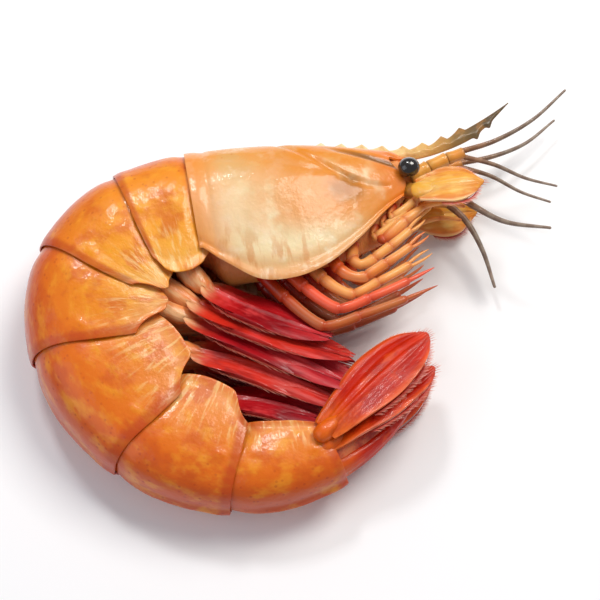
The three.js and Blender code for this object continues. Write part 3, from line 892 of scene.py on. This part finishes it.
def spikeForm(across, along):
    x = spike["start"] + along * (spike["reach"] - spike["start"])
    count = (x - spike["firstTooth"]) / spike["toothStep"]
    phase, peak = count - np.floor(count), spike["peak"]
    tooth = np.where(phase < peak, (phase / peak) ** 1.7, ((1 - phase) / (1 - peak)) ** 0.9)
    tooth = tooth * (count > 0) * (count < spike["teeth"])
    rise = np.clip((x - spike["straightTo"]) / (spike["reach"] - spike["straightTo"]), 0, 1)
    free = spike["overEyes"] + spike["climb"] * rise**1.5
    ridge = np.where(x < 0, backHeight(-x) + spike["overShell"], free)
    # Its rear end sinks into the head shell
    top = ridge + spike["toothHeight"] * tooth - 1.2 * smoothStep(x, -13, spike["start"])
    bottom = spikeUnder(x)
    for place in spike["underTeeth"]:
        bottom = bottom - spike["underTooth"] * hump(x, place, 0.4)
    angle = across * 2 * math.pi
    height = 0.5 + 0.5 * np.cos(angle)
    # Thinner towards the tip and stouter on the head, lens-shaped with a rib at mid height
    thick = spike["halfThick"] * (1 - 0.7 * smoothStep(x, 0, spike["reach"]))
    thick = thick * (1 + 0.5 * smoothStep(x, 2, -10))
    ends = np.clip(1 - np.abs(along - 0.5) * 2, 0, 0.04) / 0.04
    thick = thick * ((1 - np.abs(2 * height - 1) ** 2) ** 0.6 + 0.5 * hump(height, 0.42, 0.12)) * ends
    side = np.sign(np.round(np.sin(angle), 6))
    return np.stack([-x, bottom + (top - bottom) * height, thick * side], 1)


blade = sheet("headSpike", 24, 220, spikeForm, closed=True)
curl(blade)
makePiece(blade, "spike", "head_shell", sharp=60)
print("Head: grooved shell and toothed spike")


# Flesh under the shells

flesh = {
    "columns": 48, "rows": 260,
    "start": -1.9, "end": 106.5, "inside": 0.75,     # how far under the shells it stays
    "keel": 4.2, "ribs": 0.32, "lumps": 0.12,
}


def fleshForm(across, along):
    s = flesh["start"] + along * (flesh["end"] - flesh["start"])
    angle = across * 2 * math.pi
    up, out = np.cos(angle), np.sin(angle)
    thorax = smoothStep(s, 0, 4) * smoothStep(s, 29, 25)
    blunt = np.sqrt(np.clip(1 - (1 - np.clip((s - flesh["start"]) / 3, 0, 1)) ** 2, 0, 1))
    blunt = blunt * np.sqrt(np.clip((flesh["end"] - s) / 4, 0, 1))
    # One rib across the belly in each segment
    ring = np.interp(s, joints, np.arange(len(joints)))
    ribs = flesh["ribs"] * np.cos(ring * 2 * math.pi) * (s > joints[1]) * (up < 0)
    belly = bellyDepth(s) - 0.15 + ribs + flesh["keel"] * thorax
    depth = np.where(up > 0, (backHeight(s) - flesh["inside"]) * up, belly * up)
    narrow = 1 - np.clip(-up, 0, 1) ** 1.5 * (0.25 + 0.3 * thorax)
    wide = np.maximum(halfWidth(s) - flesh["inside"], 0.2) * out * narrow
    points = np.stack([s, depth * blunt, wide * blunt], 1)
    points[:, 1] += flesh["lumps"] * lumps(points, 1.8, 2.0) * blunt
    # Its left side stays above the shell that rests on the floor
    points[:, 2] = np.maximum(points[:, 2], 0.5 - restHeight(s))
    return points


meat = sheet("fleshBody", flesh["columns"], flesh["rows"], fleshForm, closed=True)
curl(meat)
makePiece(meat, "flesh", "belly", "thorax")
print("Flesh: one body under the shells, with the thorax's keel")


# Bristles: one is modelled, and the fringes are made of copies

bristle = {"stations": [[0, 1.0], [0.35, 0.85], [0.7, 0.55], [1, 0.15]], "radius": 0.05, "droop": 0.15}


def bristleShape():
    hair = limb("bristle", bristle["stations"], sides=3)
    points, faces = readPoints(hair), [tuple(face.vertices) for face in hair.data.polygons]
    discard(hair)
    return points, faces


hairPoints, hairFaces = bristleShape()


def fringe(name, roots, directions, lengths):
    # Bristles at the roots, each pointing its own way
    forward = unit(np.asarray(directions, float))
    across = unit(np.cross(forward, np.array([0.13, 0.29, 0.95])))
    upward = np.cross(forward, across)
    points, faces = [], []
    for i, root in enumerate(roots):
        x = hairPoints[:, 0:1] * lengths[i]
        bend = bristle["droop"] * lengths[i] * hairPoints[:, 0:1] ** 2
        y, z = hairPoints[:, 1:2] * bristle["radius"], hairPoints[:, 2:3] * bristle["radius"]
        points.append(root + forward[i] * x + across[i] * (y + bend) + upward[i] * z)
        faces += [tuple(v + i * len(hairPoints) for v in face) for face in hairFaces]
    mesh = bpy.data.meshes.new(name)
    mesh.from_pydata(np.concatenate(points) * mm, [], faces)
    obj = bpy.data.objects.new(name, mesh)
    bpy.context.collection.objects.link(obj)
    keepOnPoints(obj, "onLeg", np.tile(hairPoints[:, 0], len(roots)))
    return obj


# Leaves: thin ribbed blades along x, for the tail fan, the feeler scales and the swimming legs

def leaf(name, settings, columns=36, rows=44):
    wideAt = settings["wideAt"]

    def form(across, along):
        u = 2 * across - 1
        x = along * settings["length"] - settings["round"] * u**2 * along**6
        y = u * wideAt(along)
        z = settings["camber"] * 4 * along * (1 - along) * (1 - 0.5 * u**2)
        for place, height in settings["ribs"]:
            z = z + height * hump(u, place, 0.09) * smoothStep(along, 1.0, 0.75)
        # Fine creases that fan out from the root, and a rim that waves a little
        z = z + settings["creases"] * np.sin(u * 26) * smoothStep(along, 0.15, 0.6) * (1 - u**2)
        z = z + settings["waves"] * u**2 * np.sin(along * 13 + u * 1.7)
        return np.stack([x, y, z], 1)

    obj = sheet(name, columns, rows, form)
    if np.mean([face.normal.z for face in obj.data.polygons]) < 0:
        editAll(obj, bpy.ops.mesh.flip_normals)
    thicken(obj, settings["thick"], 0.3 * settings["thick"], offset=0)
    return obj


def leafFringe(name, settings, count, length, start=0.25, seed=1):
    # Bristles round a leaf's edge, closer to its own direction towards the tip
    draw = np.random.default_rng(seed)
    roots, directions, lengths = [], [], []
    for side in (-1, 1):
        for t in np.linspace(start, 1, count):
            x = t * settings["length"] - settings["round"] * t**6
            roots.append([x, side * float(settings["wideAt"](t)), 0])
            lean = 0.7 + 1.1 * t + draw.normal(0, 0.12)
            directions.append([lean, side * (1.05 - 0.35 * t), draw.normal(0, 0.15)])
            lengths.append(length * (0.75 + 0.25 * math.sin(math.pi * t)) * draw.uniform(0.8, 1.15))
    wide = float(settings["wideAt"](1.0))
    for u in np.linspace(-1, 1, max(int(wide * 10), 3)):
        roots.append([settings["length"] - settings["round"] * u**2, u * wide, 0])
        directions.append([1, u * 0.35 + draw.normal(0, 0.08), draw.normal(0, 0.12)])
        lengths.append(length * draw.uniform(0.8, 1.1))
    return fringe(name, np.array(roots), directions, lengths)


# Tail fan

def finWidth(wide):
    def wideAt(t):
        t = np.asarray(t, float)
        belly = np.sin(math.pi * (0.04 + 0.72 * t)) ** 0.8
        return wide * (0.3 + 0.7 * belly) * (1 - 0.6 * t**7)
    return wideAt


finRim = {"round": 1.2, "creases": 0.03, "waves": 0.16, "thick": 0.42}
tailFan = {
    "exopod": finRim | {
        "length": 18.4, "camber": 1.0, "turn": 20, "tilt": 3, "roll": 20, "back": -1.9, "side": 4.4,
        "ribs": [[-0.12, 0.3], [0.2, 0.22], [0.86, 0.26]], "wideAt": finWidth(3.8),
    },
    "endopod": finRim | {
        "length": 16.6, "camber": 0.8, "turn": 12, "tilt": 1, "roll": 30, "back": -0.5, "side": 3,
        "ribs": [[-0.1, 0.28], [0.16, 0.26]], "wideAt": finWidth(2.9),
    },
}
knuckleStations = [[-1.6, 0.5], [-1.2, 1.05], [-0.2, 1.25], [1.0, 1.15], [2.2, 0.75], [3.0, 0.25]]
finRoot = joints[7] + 0.8


def placeFin(piece, settings, side):
    # Turned along the tail and tilted, so that it hangs from the telson towards the belly
    yaw = math.degrees(spineAt(finRoot)[2]) + settings["turn"]
    root = inPlan(finRoot, settings["back"], settings["side"])
    writePoints(piece, readPoints(piece) @ turning(yaw, settings["tilt"], -settings["roll"]) + root)
    layDown(piece, side, float(restHeight(finRoot)))


for fin, settings in tailFan.items():
    pattern = leaf(fin, settings, 44, 60)
    knuckle = limb(fin + "Knuckle", knuckleStations, 14)
    keepOnPoints(knuckle, "onSheet")
    pattern = joined(fin, [pattern, knuckle])
    hairs = leafFringe(fin + "Hair", settings, 80, 1.0, start=0.3, seed=3)
    for sideName, side in sides.items():
        piece = copyOf(pattern, f"tailFin_{fin}_{sideName}")
        bristles = copyOf(hairs, f"tailHair_{fin}_{sideName}")
        for part in (piece, bristles):
            placeFin(part, settings, side)
        makePiece(piece, "tail", "tail_shell", f"uropod_{fin}_{sideName}")
        makePiece(bristles, "hair", "tail_shell")
    discard(pattern, hairs)

telson = {
    "wide": [2.5, 0.3], "high": [1.5, 0.3],      # at its root and at its tip
    "groove": 0.42, "ridge": 0.12,
    "spines": (0.58, 0.72, 0.85), "spineReach": 0.28, "spineLength": 0.06,
    "halfWidth": 2.7,      # at its widest, from which its colours count
}


def telsonForm(across, along):
    start = joints[7] + 0.15
    s = start + along * (joints[8] - start)
    angle = across * 2 * math.pi
    (wide, wideTip), (high, highTip) = telson["wide"], telson["high"]
    wide = wide + (wideTip - wide) * along**1.3
    # Three small spines on each side near the tip
    for place in telson["spines"]:
        ramp = np.clip((along - place + telson["spineLength"]) / telson["spineLength"], 0, 1)
        wide = wide + telson["spineReach"] * ramp * (along < place)
    high = high + (highTip - high) * along
    blunt = np.sqrt(np.clip(along / 0.04, 0, 1)) * np.sqrt(np.clip((1 - along) / 0.05, 0, 1))
    base = backHeight(start) - high - 0.4
    depth = base * (1 - along) + high * np.cos(angle) * blunt
    out = wide * np.sin(angle) * blunt
    upper = (np.cos(angle) > 0) * smoothStep(along, 0.02, 0.12) * smoothStep(along, 0.95, 0.8)
    # A groove along its middle, between two ridges
    depth = depth - upper * telson["groove"] * hump(out, 0, 0.4)
    depth = depth + upper * telson["ridge"] * hump(np.abs(out), 0.95, 0.3)
    return np.stack([s, depth, out], 1)


blade = sheet("telsonBlade", 40, 70, telsonForm, closed=True)
straight = readPoints(blade)
along = (straight[:, 0] - joints[7]) / body["telsonLength"]
keepOnPoints(blade, "onSheet", np.abs(straight[:, 2]) / telson["halfWidth"], along)
curl(blade)
makePiece(blade, "tail", "tail_shell", "telson")
print("Tail: telson and four fringed fins")


# Eyes and their stalks

eyes = {
    "radius": 1.45, "flatten": (1, 0.92, 0.86),
    "stalk": [[0.2, 2.8, 0.3], [0.35, 2.5, 0.9], [0.45, 2.1, 1.7], [0.5, 1.55, 2.4], [0.42, 1.0, 3.2]],
    "stalkStations": [
        [0, 0.45], [0.1, 0.55], [0.22, 0.5], [0.45, 0.65], [0.62, 0.8], [0.78, 1.0], [0.92, 1.12], [1, 1.0],
    ],
}
deselect()
bpy.ops.mesh.primitive_uv_sphere_add(segments=56, ring_count=32, radius=eyes["radius"] * mm)
ball = bpy.context.object
editAll(ball, lambda: bpy.ops.transform.resize(value=eyes["flatten"]))
keepOnPoints(ball, "straight", *readPoints(ball).T * mm)
writePoints(ball, readPoints(ball) + [-eyePlace["forward"], eyePlace["back"], eyePlace["side"]])
stem = limb("stalk", eyes["stalkStations"], 20)
writePoints(stem, bentAlong(readPoints(stem), headRoute(eyes["stalk"]), up=(1, 0, 0)))
rounded(stem)
for sideName, side in sides.items():
    bead, stalk = copyOf(ball, f"eyeBead_{sideName}"), copyOf(stem, f"eyeStalk_{sideName}")
    for part in (bead, stalk):
        curl(part, side)
    makePiece(bead, "eye", "eye", f"eye_{sideName}")
    makePiece(stalk, "stalk", "eyestalk", f"eyestalk_{sideName}", sharp=80)
discard(ball, stem)
print("Eyes: two black beads on their stalks")


# Feeler scales

def scaleWidth(t):
    t = np.asarray(t, float)
    return 3.2 * (0.35 + 0.65 * np.sin(math.pi * np.minimum(0.1 + t * 0.7, 1))) * (1 - 0.7 * t**6)


scales = {
    "length": 8.8, "camber": 0.6, "thick": 0.34, "round": 1.0, "creases": 0.03, "waves": 0.08,
    "ribs": [[0.0, 0.18], [0.84, 0.34]], "wideAt": scaleWidth,
    "at": [0.8, -3.2, 4.15],
    "turns": {1: -1, -1: -6}, "roll": -22,      # in degrees, and the left one is turned lower
    "foot": [[-0.9, 0.5], [-0.6, 0.95], [0.2, 1.35], [1.4, 1.3], [3.0, 0.9], [4.4, 0.3]],
    "footFlat": [1, 1.15, 0.6],
}
scaleLeaf = leaf("scaleLeaf", scales, 36, 48)
foot = limb("scaleFoot", scales["foot"], 16)
rounded(foot)
writePoints(foot, readPoints(foot) * scales["footFlat"])
keepOnPoints(foot, "onSheet")
scaleLeaf = joined("scale", [scaleLeaf, foot])
for part, finish in ((scaleLeaf, "scale"), (leafFringe("scaleHair", scales, 60, 0.9, 0.3, 5), "hair")):
    for sideName, side in sides.items():
        piece = copyOf(part, f"{part.name}_{sideName}")
        turned = readPoints(piece) @ turning(scales["turns"][side], 0, scales["roll"])
        writePoints(piece, (turned + scales["at"]) * [-1, 1, 1])
        editAll(piece, bpy.ops.mesh.flip_normals)
        curl(piece, side)
        nodes = [f"antennal_scale_{sideName}"] if finish == "scale" else []
        makePiece(piece, finish, "scale", *nodes)
    discard(part)


# Jointed limbs: walking legs, leg-like mouthparts and feelers

def jointedStations(cuts, radiusAt, swell=1.12, pinch=0.78):
    # Each length between two cuts is narrow where it starts and stout where it ends. A station
    # has its place, the place whose radius it takes, and how much stouter it is
    shape = [
        (0, 0, pinch), (0.07, 0, 1), (0.4, 0.4, 0.93), (0.82, 0.82, 1.02), (0.94, 1, swell),
        (0.988, 1, 0.95),
    ]
    stations = []
    for start, end in zip(cuts[:-1], cuts[1:]):
        for at, like, stouter in shape:
            radius = radiusAt(start + like * (end - start)) * stouter
            stations.append([start + at * (end - start), radius])
    return stations


def dressedLimb(name, template, cuts, route, side, tint, reach=1.0):
    # A copy of a straight limb, bent along its route and laid on its side of the body. Its
    # points keep how far along they are, the limb's tint, and how near a joint they are
    piece = copyOf(template, name)
    straight = readPoints(piece)
    t = straight[:, 0]
    near = np.max([t * 0, *[hump(t, cut, 0.018) for cut in cuts]], axis=0)
    keepOnPoints(piece, "onLeg", np.clip(t, 0, 1) * reach, tint, near)
    writePoints(piece, bentAlong(straight, route))
    curl(piece, side)
    return piece


walkers = {
    "cuts": [0, 0.1, 0.24, 0.46, 0.62, 0.84],
    "thick": [0.98, 0.46],
    "fingers": [[0.82, 0.22], [0.86, 0.26], [0.93, 0.2], [0.985, 0.1], [1.0, 0.03]],
    "claw": [[0.82, 0.32], [0.86, 0.35], [0.93, 0.24], [0.985, 0.1], [1.0, 0.03]],
    "fingerGap": 0.16, "spread": 0.3,
    # The first leg's root, knee and tip, and how far each one behind it lies from the last
    "root": 8.8, "rootStep": 3.1, "rootDepth": 3.3,
    "knee": [-8.4, -12, 2.9], "kneeStep": [-0.5, -1.8, 0],
    "tip": [1.1, -6.5, 2.6], "tipStep": [0, -2.4, 0],
    "leftOffset": 1.1,     # the left legs lie between the right ones
    # Each leg's tint; those below 0 are painted shade, dark crimson for legs that lie in shadow
    "tintsAndShade": {1: [1.8, 0.1, 1.7, 1.0, -0.6], -1: [-0.3, -0.4, -0.4, -0.7, -0.8]},
}


def walkerRadius(t):
    thick, thin = walkers["thick"]
    return thick + (thin - thick) * t


def legTemplate(pincer):
    parts = [limb("legTemplate", jointedStations(walkers["cuts"], walkerRadius) + [[0.85, 0.3]], 14)]
    for way in ((1, -1) if pincer else (0,)):
        finger = limb("finger", walkers["fingers" if pincer else "claw"], 10)
        points, root = readPoints(finger), walkers["claw"][0][0]
        # The fingers part from their roots on and close again towards their tips
        opening = np.sin(np.clip((points[:, 0] - root) / (1 - root), 0, 1) * math.pi * 0.8)
        points[:, 1] += way * (walkers["fingerGap"] + walkers["spread"] * opening)
        writePoints(finger, points)
        parts.append(finger)
    return joined("legTemplate", parts)


def walkerRoute(k, side):
    # Down from the head's underside to a knee, and folded forwards and up to the tip. Every
    # second leg stands out a little
    at, odd = walkers["root"] + walkers["rootStep"] * k, k % 2
    offset = walkers["leftOffset"] * k / 4 * (side < 0)
    root = np.array([-at, -bellyDepth(at) - walkers["rootDepth"], 1.9])
    knee = walkers["knee"] + np.array(walkers["kneeStep"]) * k + [-0.25 * k * k, offset, 0.5 * odd]
    tip = walkers["tip"] + np.array(walkers["tipStep"]) * k + [-offset, offset, 0.3 * odd]
    within, shin = (root + knee) / 2 + [-0.5, -0.3, 0.3], tip - knee
    bend = [knee + shin * 0.35 + [0, -0.5, 0.5], knee + shin * 0.7 + [0, -0.4, 0.3]]
    return headRoute([root + [-0.2, 1.6, -0.5], root, within, knee, *bend, tip])


pincerLeg, clawLeg = legTemplate(True), legTemplate(False)
for sideName, side in sides.items():
    for k, tint in enumerate(walkers["tintsAndShade"][side]):
        template, route = pincerLeg if k < 3 else clawLeg, walkerRoute(k, side)
        piece = dressedLimb(f"walkingLeg_{k + 1}_{sideName}", template, walkers["cuts"], route, side, tint)
        rounded(piece)
        makePiece(piece, "leg", "leg", f"pereiopod_{k + 1}_{sideName}", sharp=80)
discard(pincerLeg, clawLeg)

mouthLegs = {
    "cuts": [0, 0.12, 0.38, 0.6, 0.8, 1], "tint": 1.7,
    "route": [
        [-5.2, -7.5, 1.6], [-4.7, -8.6, 2.3], [-1.6, -6.7, 2.7], [1.6, -5, 2.7], [4.4, -4.9, 2.5],
        [6.8, -5.7, 2.2],
    ],
    # Five small mouthparts lie folded between them and the head shell, each a step away from
    # the first one's route
    "smallCuts": [0, 0.3, 0.62, 0.96], "smallTint": 2.0,
    "small": [[-3.6, -4.6, 1.2], [-4.5, -6.7, 1.9], [-2.2, -5.9, 2.5], [0.5, -4.0, 2.6], [2.3, -3.1, 2.2]],
    "smallSteps": [[0, 0, 0], [1.2, 1.0, 0.3], [-1.5, -1.2, -0.1], [0.9, -0.3, -1.0], [2.3, 1.7, -1.4]],
    "tip": [[0.995, 0.16], [1.01, 0.04]],
}


def mouthLegRadius(t):
    return 0.68 - 0.46 * t + 0.3 * math.sin(math.pi * min(t * 1.6, 1))


stations = jointedStations(mouthLegs["cuts"], mouthLegRadius, 1.0, 0.85)
template = limb("mouthTemplate", stations + mouthLegs["tip"], 14)
smallStations = jointedStations(mouthLegs["smallCuts"], lambda t: 0.8 - 0.45 * t)
smallTemplate = limb("smallTemplate", smallStations + mouthLegs["tip"], 12)
for sideName, side in sides.items():
    route = headRoute(mouthLegs["route"])
    piece = dressedLimb(f"mouthLeg_{sideName}", template, mouthLegs["cuts"], route, side, mouthLegs["tint"])
    rounded(piece)
    makePiece(piece, "leg", "leg", f"maxilliped_{sideName}", sharp=80)
    cuts, tint, parts = mouthLegs["smallCuts"][1:3], mouthLegs["smallTint"], []
    for step in mouthLegs["smallSteps"]:
        route = headRoute(np.array(mouthLegs["small"]) + step)
        parts.append(dressedLimb("smallMouthpart", smallTemplate, cuts, route, side, tint))
    small = joined(f"smallMouthparts_{sideName}", parts)
    rounded(small)
    makePiece(small, "leg", "leg", sharp=80)
discard(template, smallTemplate)
print("Legs: ten walking legs, two mouth legs and the small mouthparts")

feelers = {
    # Stalks and whips: the radius at both ends, the route, and where a stalk has its joints
    "shortStalk": {
        "radius": (1.1, 0.76), "cuts": [0, 0.36, 0.7, 1],
        "route": [[0.6, -0.2, 1.4], [3, 0.8, 1.5], [5.8, 1.7, 1.6], [8.4, 2.2, 1.7]],
    },
    "upperWhip": {
        "radius": (0.42, 0.17),
        "route": [[7.8, 2.4, 1.8], [12.6, 2.9, 2.5], [18, 4.6, 3.6], [23.2, 7.9, 4.4]],
    },
    "lowerWhip": {
        "radius": (0.38, 0.16),
        "route": [[7.8, 1.9, 1.6], [12, -0.2, 1.8], [15.6, -3, 2.2], [19.4, -5, 2.6]],
    },
    "longBase": {
        "radius": (1.1, 0.8), "cuts": [0, 0.45, 1],
        "route": [[-0.4, -1.6, 1.2], [0.3, -1.9, 1.5], [2.6, -2.3, 1.8], [5.6, -2.8, 2.2]],
    },
    "lash_right": {
        "radius": (0.55, 0.2),
        "route": [[5.2, -2.8, 2.2], [7.8, -6, 2.8], [11.2, -9.2, 3.6], [16.8, -11.4, 4.4]],
    },
    "lash_left": {
        "radius": (0.55, 0.2),
        "route": [[5.2, -2.8, 2.2], [7.4, -5.6, 2.6], [8.9, -10, 3.2], [9.6, -15.4, 4]],
    },
    "rings": 56, "ringsInBand": 4, "ringSwell": (1.06, 0.92),
}


def feelerPart(name, side):
    # A jointed stalk, or a ringed whip with darker bands of a few rings each
    settings, rings = feelers[name], feelers["rings"]
    (start, end), cuts = settings["radius"], settings.get("cuts", [])

    def radiusAt(t):
        return start + (end - start) * t

    if cuts:
        stations = jointedStations(cuts, radiusAt, 1.1, 0.82) + [[1, 0.42]]
    else:
        (ring, waist), stations = feelers["ringSwell"], []
        for t in np.arange(rings) / rings:
            stations += [[t, radiusAt(t) * ring], [t + 0.55 / rings, radiusAt(t) * waist]]
        stations.append([1, end * 0.6])
    template = limb(name + "Straight", stations, 16 if cuts else 8)
    piece = dressedLimb(name, template, cuts, headRoute(settings["route"]), side, 0, reach=0.25)
    if not cuts:
        t = readPoints(template)[:, 0]
        banded = (np.floor(t * rings / feelers["ringsInBand"]) % 2) * 0.6
        keepOnPoints(piece, "onLeg", 0.3 + 0.7 * t, 0, banded)
    discard(template)
    return piece


for sideName, side in sides.items():
    for name, node, parts in (
        ("shortFeeler", "antennule", ("shortStalk", "upperWhip", "lowerWhip")),
        ("longFeeler", "antenna", ("longBase", f"lash_{sideName}")),
    ):
        feeler = joined(f"{name}_{sideName}", [feelerPart(part, side) for part in parts])
        makePiece(feeler, "feeler", "feeler", f"{node}_{sideName}", sharp=80)
print("Feelers: two short pairs and two long ones, broken short")


# Swimming legs: a stem, an outer and an inner leaf, and their fringes

swimmers = {
    "tips": [[-12.6, -22], [-10.4, -24.3], [-9.6, -27.6], [-10.2, -30.1], [-12.6, -32.4]],
    "rootDepth": 0.4, "rootOut": 0.31,     # below the belly, and as a share of its half width
    "twist": 60, "twistSpread": 9,         # in degrees
    "stem": [[-0.03, 1.3], [0.03, 1.6], [0.12, 1.75], [0.24, 1.75], [0.34, 1.5], [0.41, 1.0], [0.46, 0.5]],
    "stemFlat": 0.92,
    "outer": {
        "length": 0.66, "camber": 0.35, "thick": 0.3, "round": 0.02, "creases": 0.03, "waves": 0.3,
        "ribs": [[0, 0.3]], "at": [0.34, 0.1, 0.15],
        "wideAt": profile([[0, 0.4], [0.2, 2.0], [0.45, 2.8], [0.7, 2.8], [0.9, 2.1], [1, 1.2]]),
    },
    "inner": {
        "length": 0.54, "camber": 0.3, "thick": 0.28, "round": 0.02, "creases": 0.03, "waves": 0.25,
        "ribs": [[0, 0.25]], "at": [0.33, -0.5, -0.36],
        "wideAt": profile([[0, 0.2], [0.25, 1.5], [0.5, 2.1], [0.75, 2.0], [1, 0.9]]),
    },
    "hairSpan": 10,        # the length in millimetres at which the fringes are modelled
    "curlSpread": 0.7,
    # The length that the pattern of colours takes a leg for, and its steps from leg to leg
    "patternLength": 13, "patternSteps": (17.0, 9.0),
}


def swimmerPattern():
    # Along x as a share of the leg's length, across y and z in millimetres
    stem = limb("swimmerStem", swimmers["stem"], 16)
    writePoints(stem, readPoints(stem) * [1, 1, swimmers["stemFlat"]])
    leaves, hairs = [stem], []
    for name, seed in (("outer", 7), ("inner", 8)):
        settings = swimmers[name]
        blade = leaf(name + "Leaf", dict(settings, length=1.0), 24, 30)
        writePoints(blade, readPoints(blade) * [settings["length"], 1, 1] + settings["at"])
        span = swimmers["hairSpan"]
        edge = dict(settings, length=span, round=0.2)
        bristles = leafFringe(name + "Hair", edge, 46, 1.1, start=0.12, seed=seed)
        writePoints(bristles, readPoints(bristles) * [settings["length"] / span, 1, 1] + settings["at"])
        leaves.append(blade)
        hairs.append(bristles)
    return joined("swimmerPattern", leaves), joined("swimmerHairs", hairs)


def alongSwimmer(points, number, character):
    # Lays a leg from its root into the hollow of the curl, twisted so that its leaves show
    s = (joints[number] + joints[number + 1]) / 2
    size = float(halfWidth(s) / halfWidth((joints[1] + joints[2]) / 2)) ** 0.4
    root = inPlan(s, -bellyDepth(s) - swimmers["rootDepth"], halfWidth(s) * swimmers["rootOut"])
    inward = unit(inPlan(s, -20, 0) - inPlan(s, 0, 0))
    tip = np.array([*swimmers["tips"][number - 1], root[2]])
    bend = root + inward * np.linalg.norm(root - tip) * 0.25
    tip[2] += 0.4
    t = points[:, 0:1]
    centre = (1 - t) ** 2 * root + 2 * t * (1 - t) * bend + t**2 * tip
    forward = unit(2 * (1 - t) * (bend - root) + 2 * t * (tip - bend))
    flat = unit(np.stack([-forward[:, 1], forward[:, 0], forward[:, 0] * 0], 1))
    twist = math.radians(swimmers["twist"] + swimmers["twistSpread"] * character[0])
    turned = twist * smoothStep(t, 0.1, 0.55)
    across = flat * np.cos(turned) + np.cross(forward, flat) * np.sin(turned)
    broad = np.cross(forward, across)
    curled = character[1] + 0.25 * np.sin(points[:, 1:2] * 2.2)
    curled = 0.5 * swimmers["curlSpread"] * smoothStep(t, 0.5, 1.0) * curled
    return centre + broad * points[:, 1:2] * size + across * (points[:, 2:3] * size + curled)


pattern, patternHairs = swimmerPattern()
# alongSwimmer() turns a leg inside out, so that its faces point outwards if turned first
for part in (pattern, patternHairs):
    editAll(part, bpy.ops.mesh.flip_normals)
draw = np.random.default_rng(11)
allHairs = []
for number in range(1, 6):
    middle = float(restHeight((joints[number] + joints[number + 1]) / 2))
    for sideName, side in sides.items():
        character = draw.uniform(-1, 1, 3)
        piece = copyOf(pattern, f"swimmingLeg_{number}_{sideName}")
        bristles = copyOf(patternHairs, "hairs")
        points = readPoints(piece)
        keepOnPoints(piece, "onLeg", np.clip(points[:, 0], 0, 1), 0.5 + 0.5 * character[2])
        # A place of its own for each leg's pattern, with x in millimetres
        onward, sideways = swimmers["patternSteps"]
        points = points * [swimmers["patternLength"], 1, 1] + [number * onward, side * sideways, 0]
        keepOnPoints(piece, "straight", *points.T * mm)
        for part in (piece, bristles):
            writePoints(part, alongSwimmer(readPoints(part), number, character))
            layDown(part, side, middle)
        makePiece(piece, "swimmer", "swimming_leg", f"pleopod_{number}_{sideName}")
        allHairs.append(bristles)
makePiece(joined("swimmingFringe", allHairs), "hair", "swimming_leg")
discard(pattern, patternHairs)
print("Swimming legs: ten, with stems, two leaves each and a fringe")


# Floor, light and camera

stage = {"size": 6.0, "floor": "#f8f8fa", "air": "#f4f6fb", "airLight": 0.36}
deselect()
bpy.ops.mesh.primitive_plane_add(size=stage["size"], location=(0, 0, 0))
floor = bpy.context.object
floor.name = "floor"
paper = {"Roughness": 0.55, "Base Color": linear(stage["floor"])}
floor.data.materials.append(newMaterial("paleFloor", paper)[0])

world = bpy.data.worlds.new("studioAir")
world.use_nodes = True
sky = world.node_tree.nodes["Background"]
sky.inputs["Color"].default_value = linear(stage["air"])
sky.inputs["Strength"].default_value = stage["airLight"]
bpy.context.scene.world = world
bpy.context.scene.view_settings.view_transform = "Standard"


def putFacing(name, data, place, aim):
    # Puts a light or the camera in its place, turned towards what it aims at
    holder = bpy.data.objects.new(name, data)
    holder.location = place
    holder.rotation_euler = (aim - holder.location).to_track_quat("-Z", "Y").to_euler()
    bpy.context.collection.objects.link(holder)
    return holder


softBoxes = {
    "key": {"at": (0.2, 0.22, 0.42), "size": 0.22, "watts": 1.75, "colour": "#fffaf2"},
    "fill": {"at": (-0.34, -0.12, 0.3), "size": 0.34, "watts": 0.4, "colour": "#eef4ff"},
    "window": {"at": (-0.08, 0.24, 0.34), "size": 0.06, "watts": 0.45, "colour": "#ffffff"},
}
for name, box in softBoxes.items():
    lamp = bpy.data.lights.new(name, "AREA")
    lamp.energy, lamp.size, lamp.color = box["watts"], box["size"], linear(box["colour"])[:3]
    putFacing(name, lamp, box["at"], Vector())

# The camera looks down on the side that faces up, from azimuth 0
view = {"elevation": 70, "lens": 85, "sensor": 36, "frameWidth": 79, "aim": (0.0, 0.0, 5.0)}
camera = bpy.data.cameras.new("camera")
camera.lens, camera.sensor_width, camera.sensor_fit = view["lens"], view["sensor"], "HORIZONTAL"
camera.clip_start, camera.clip_end = 0.01, 20
distance = view["frameWidth"] * mm * view["lens"] / view["sensor"]
elevation = math.radians(view["elevation"])
towards = Vector((0, -math.cos(elevation), math.sin(elevation)))
aim = Vector(view["aim"]) * mm
bpy.context.scene.camera = putFacing("camera", camera, aim + towards * distance, aim)
print("Stage: pale floor, soft light and the camera")
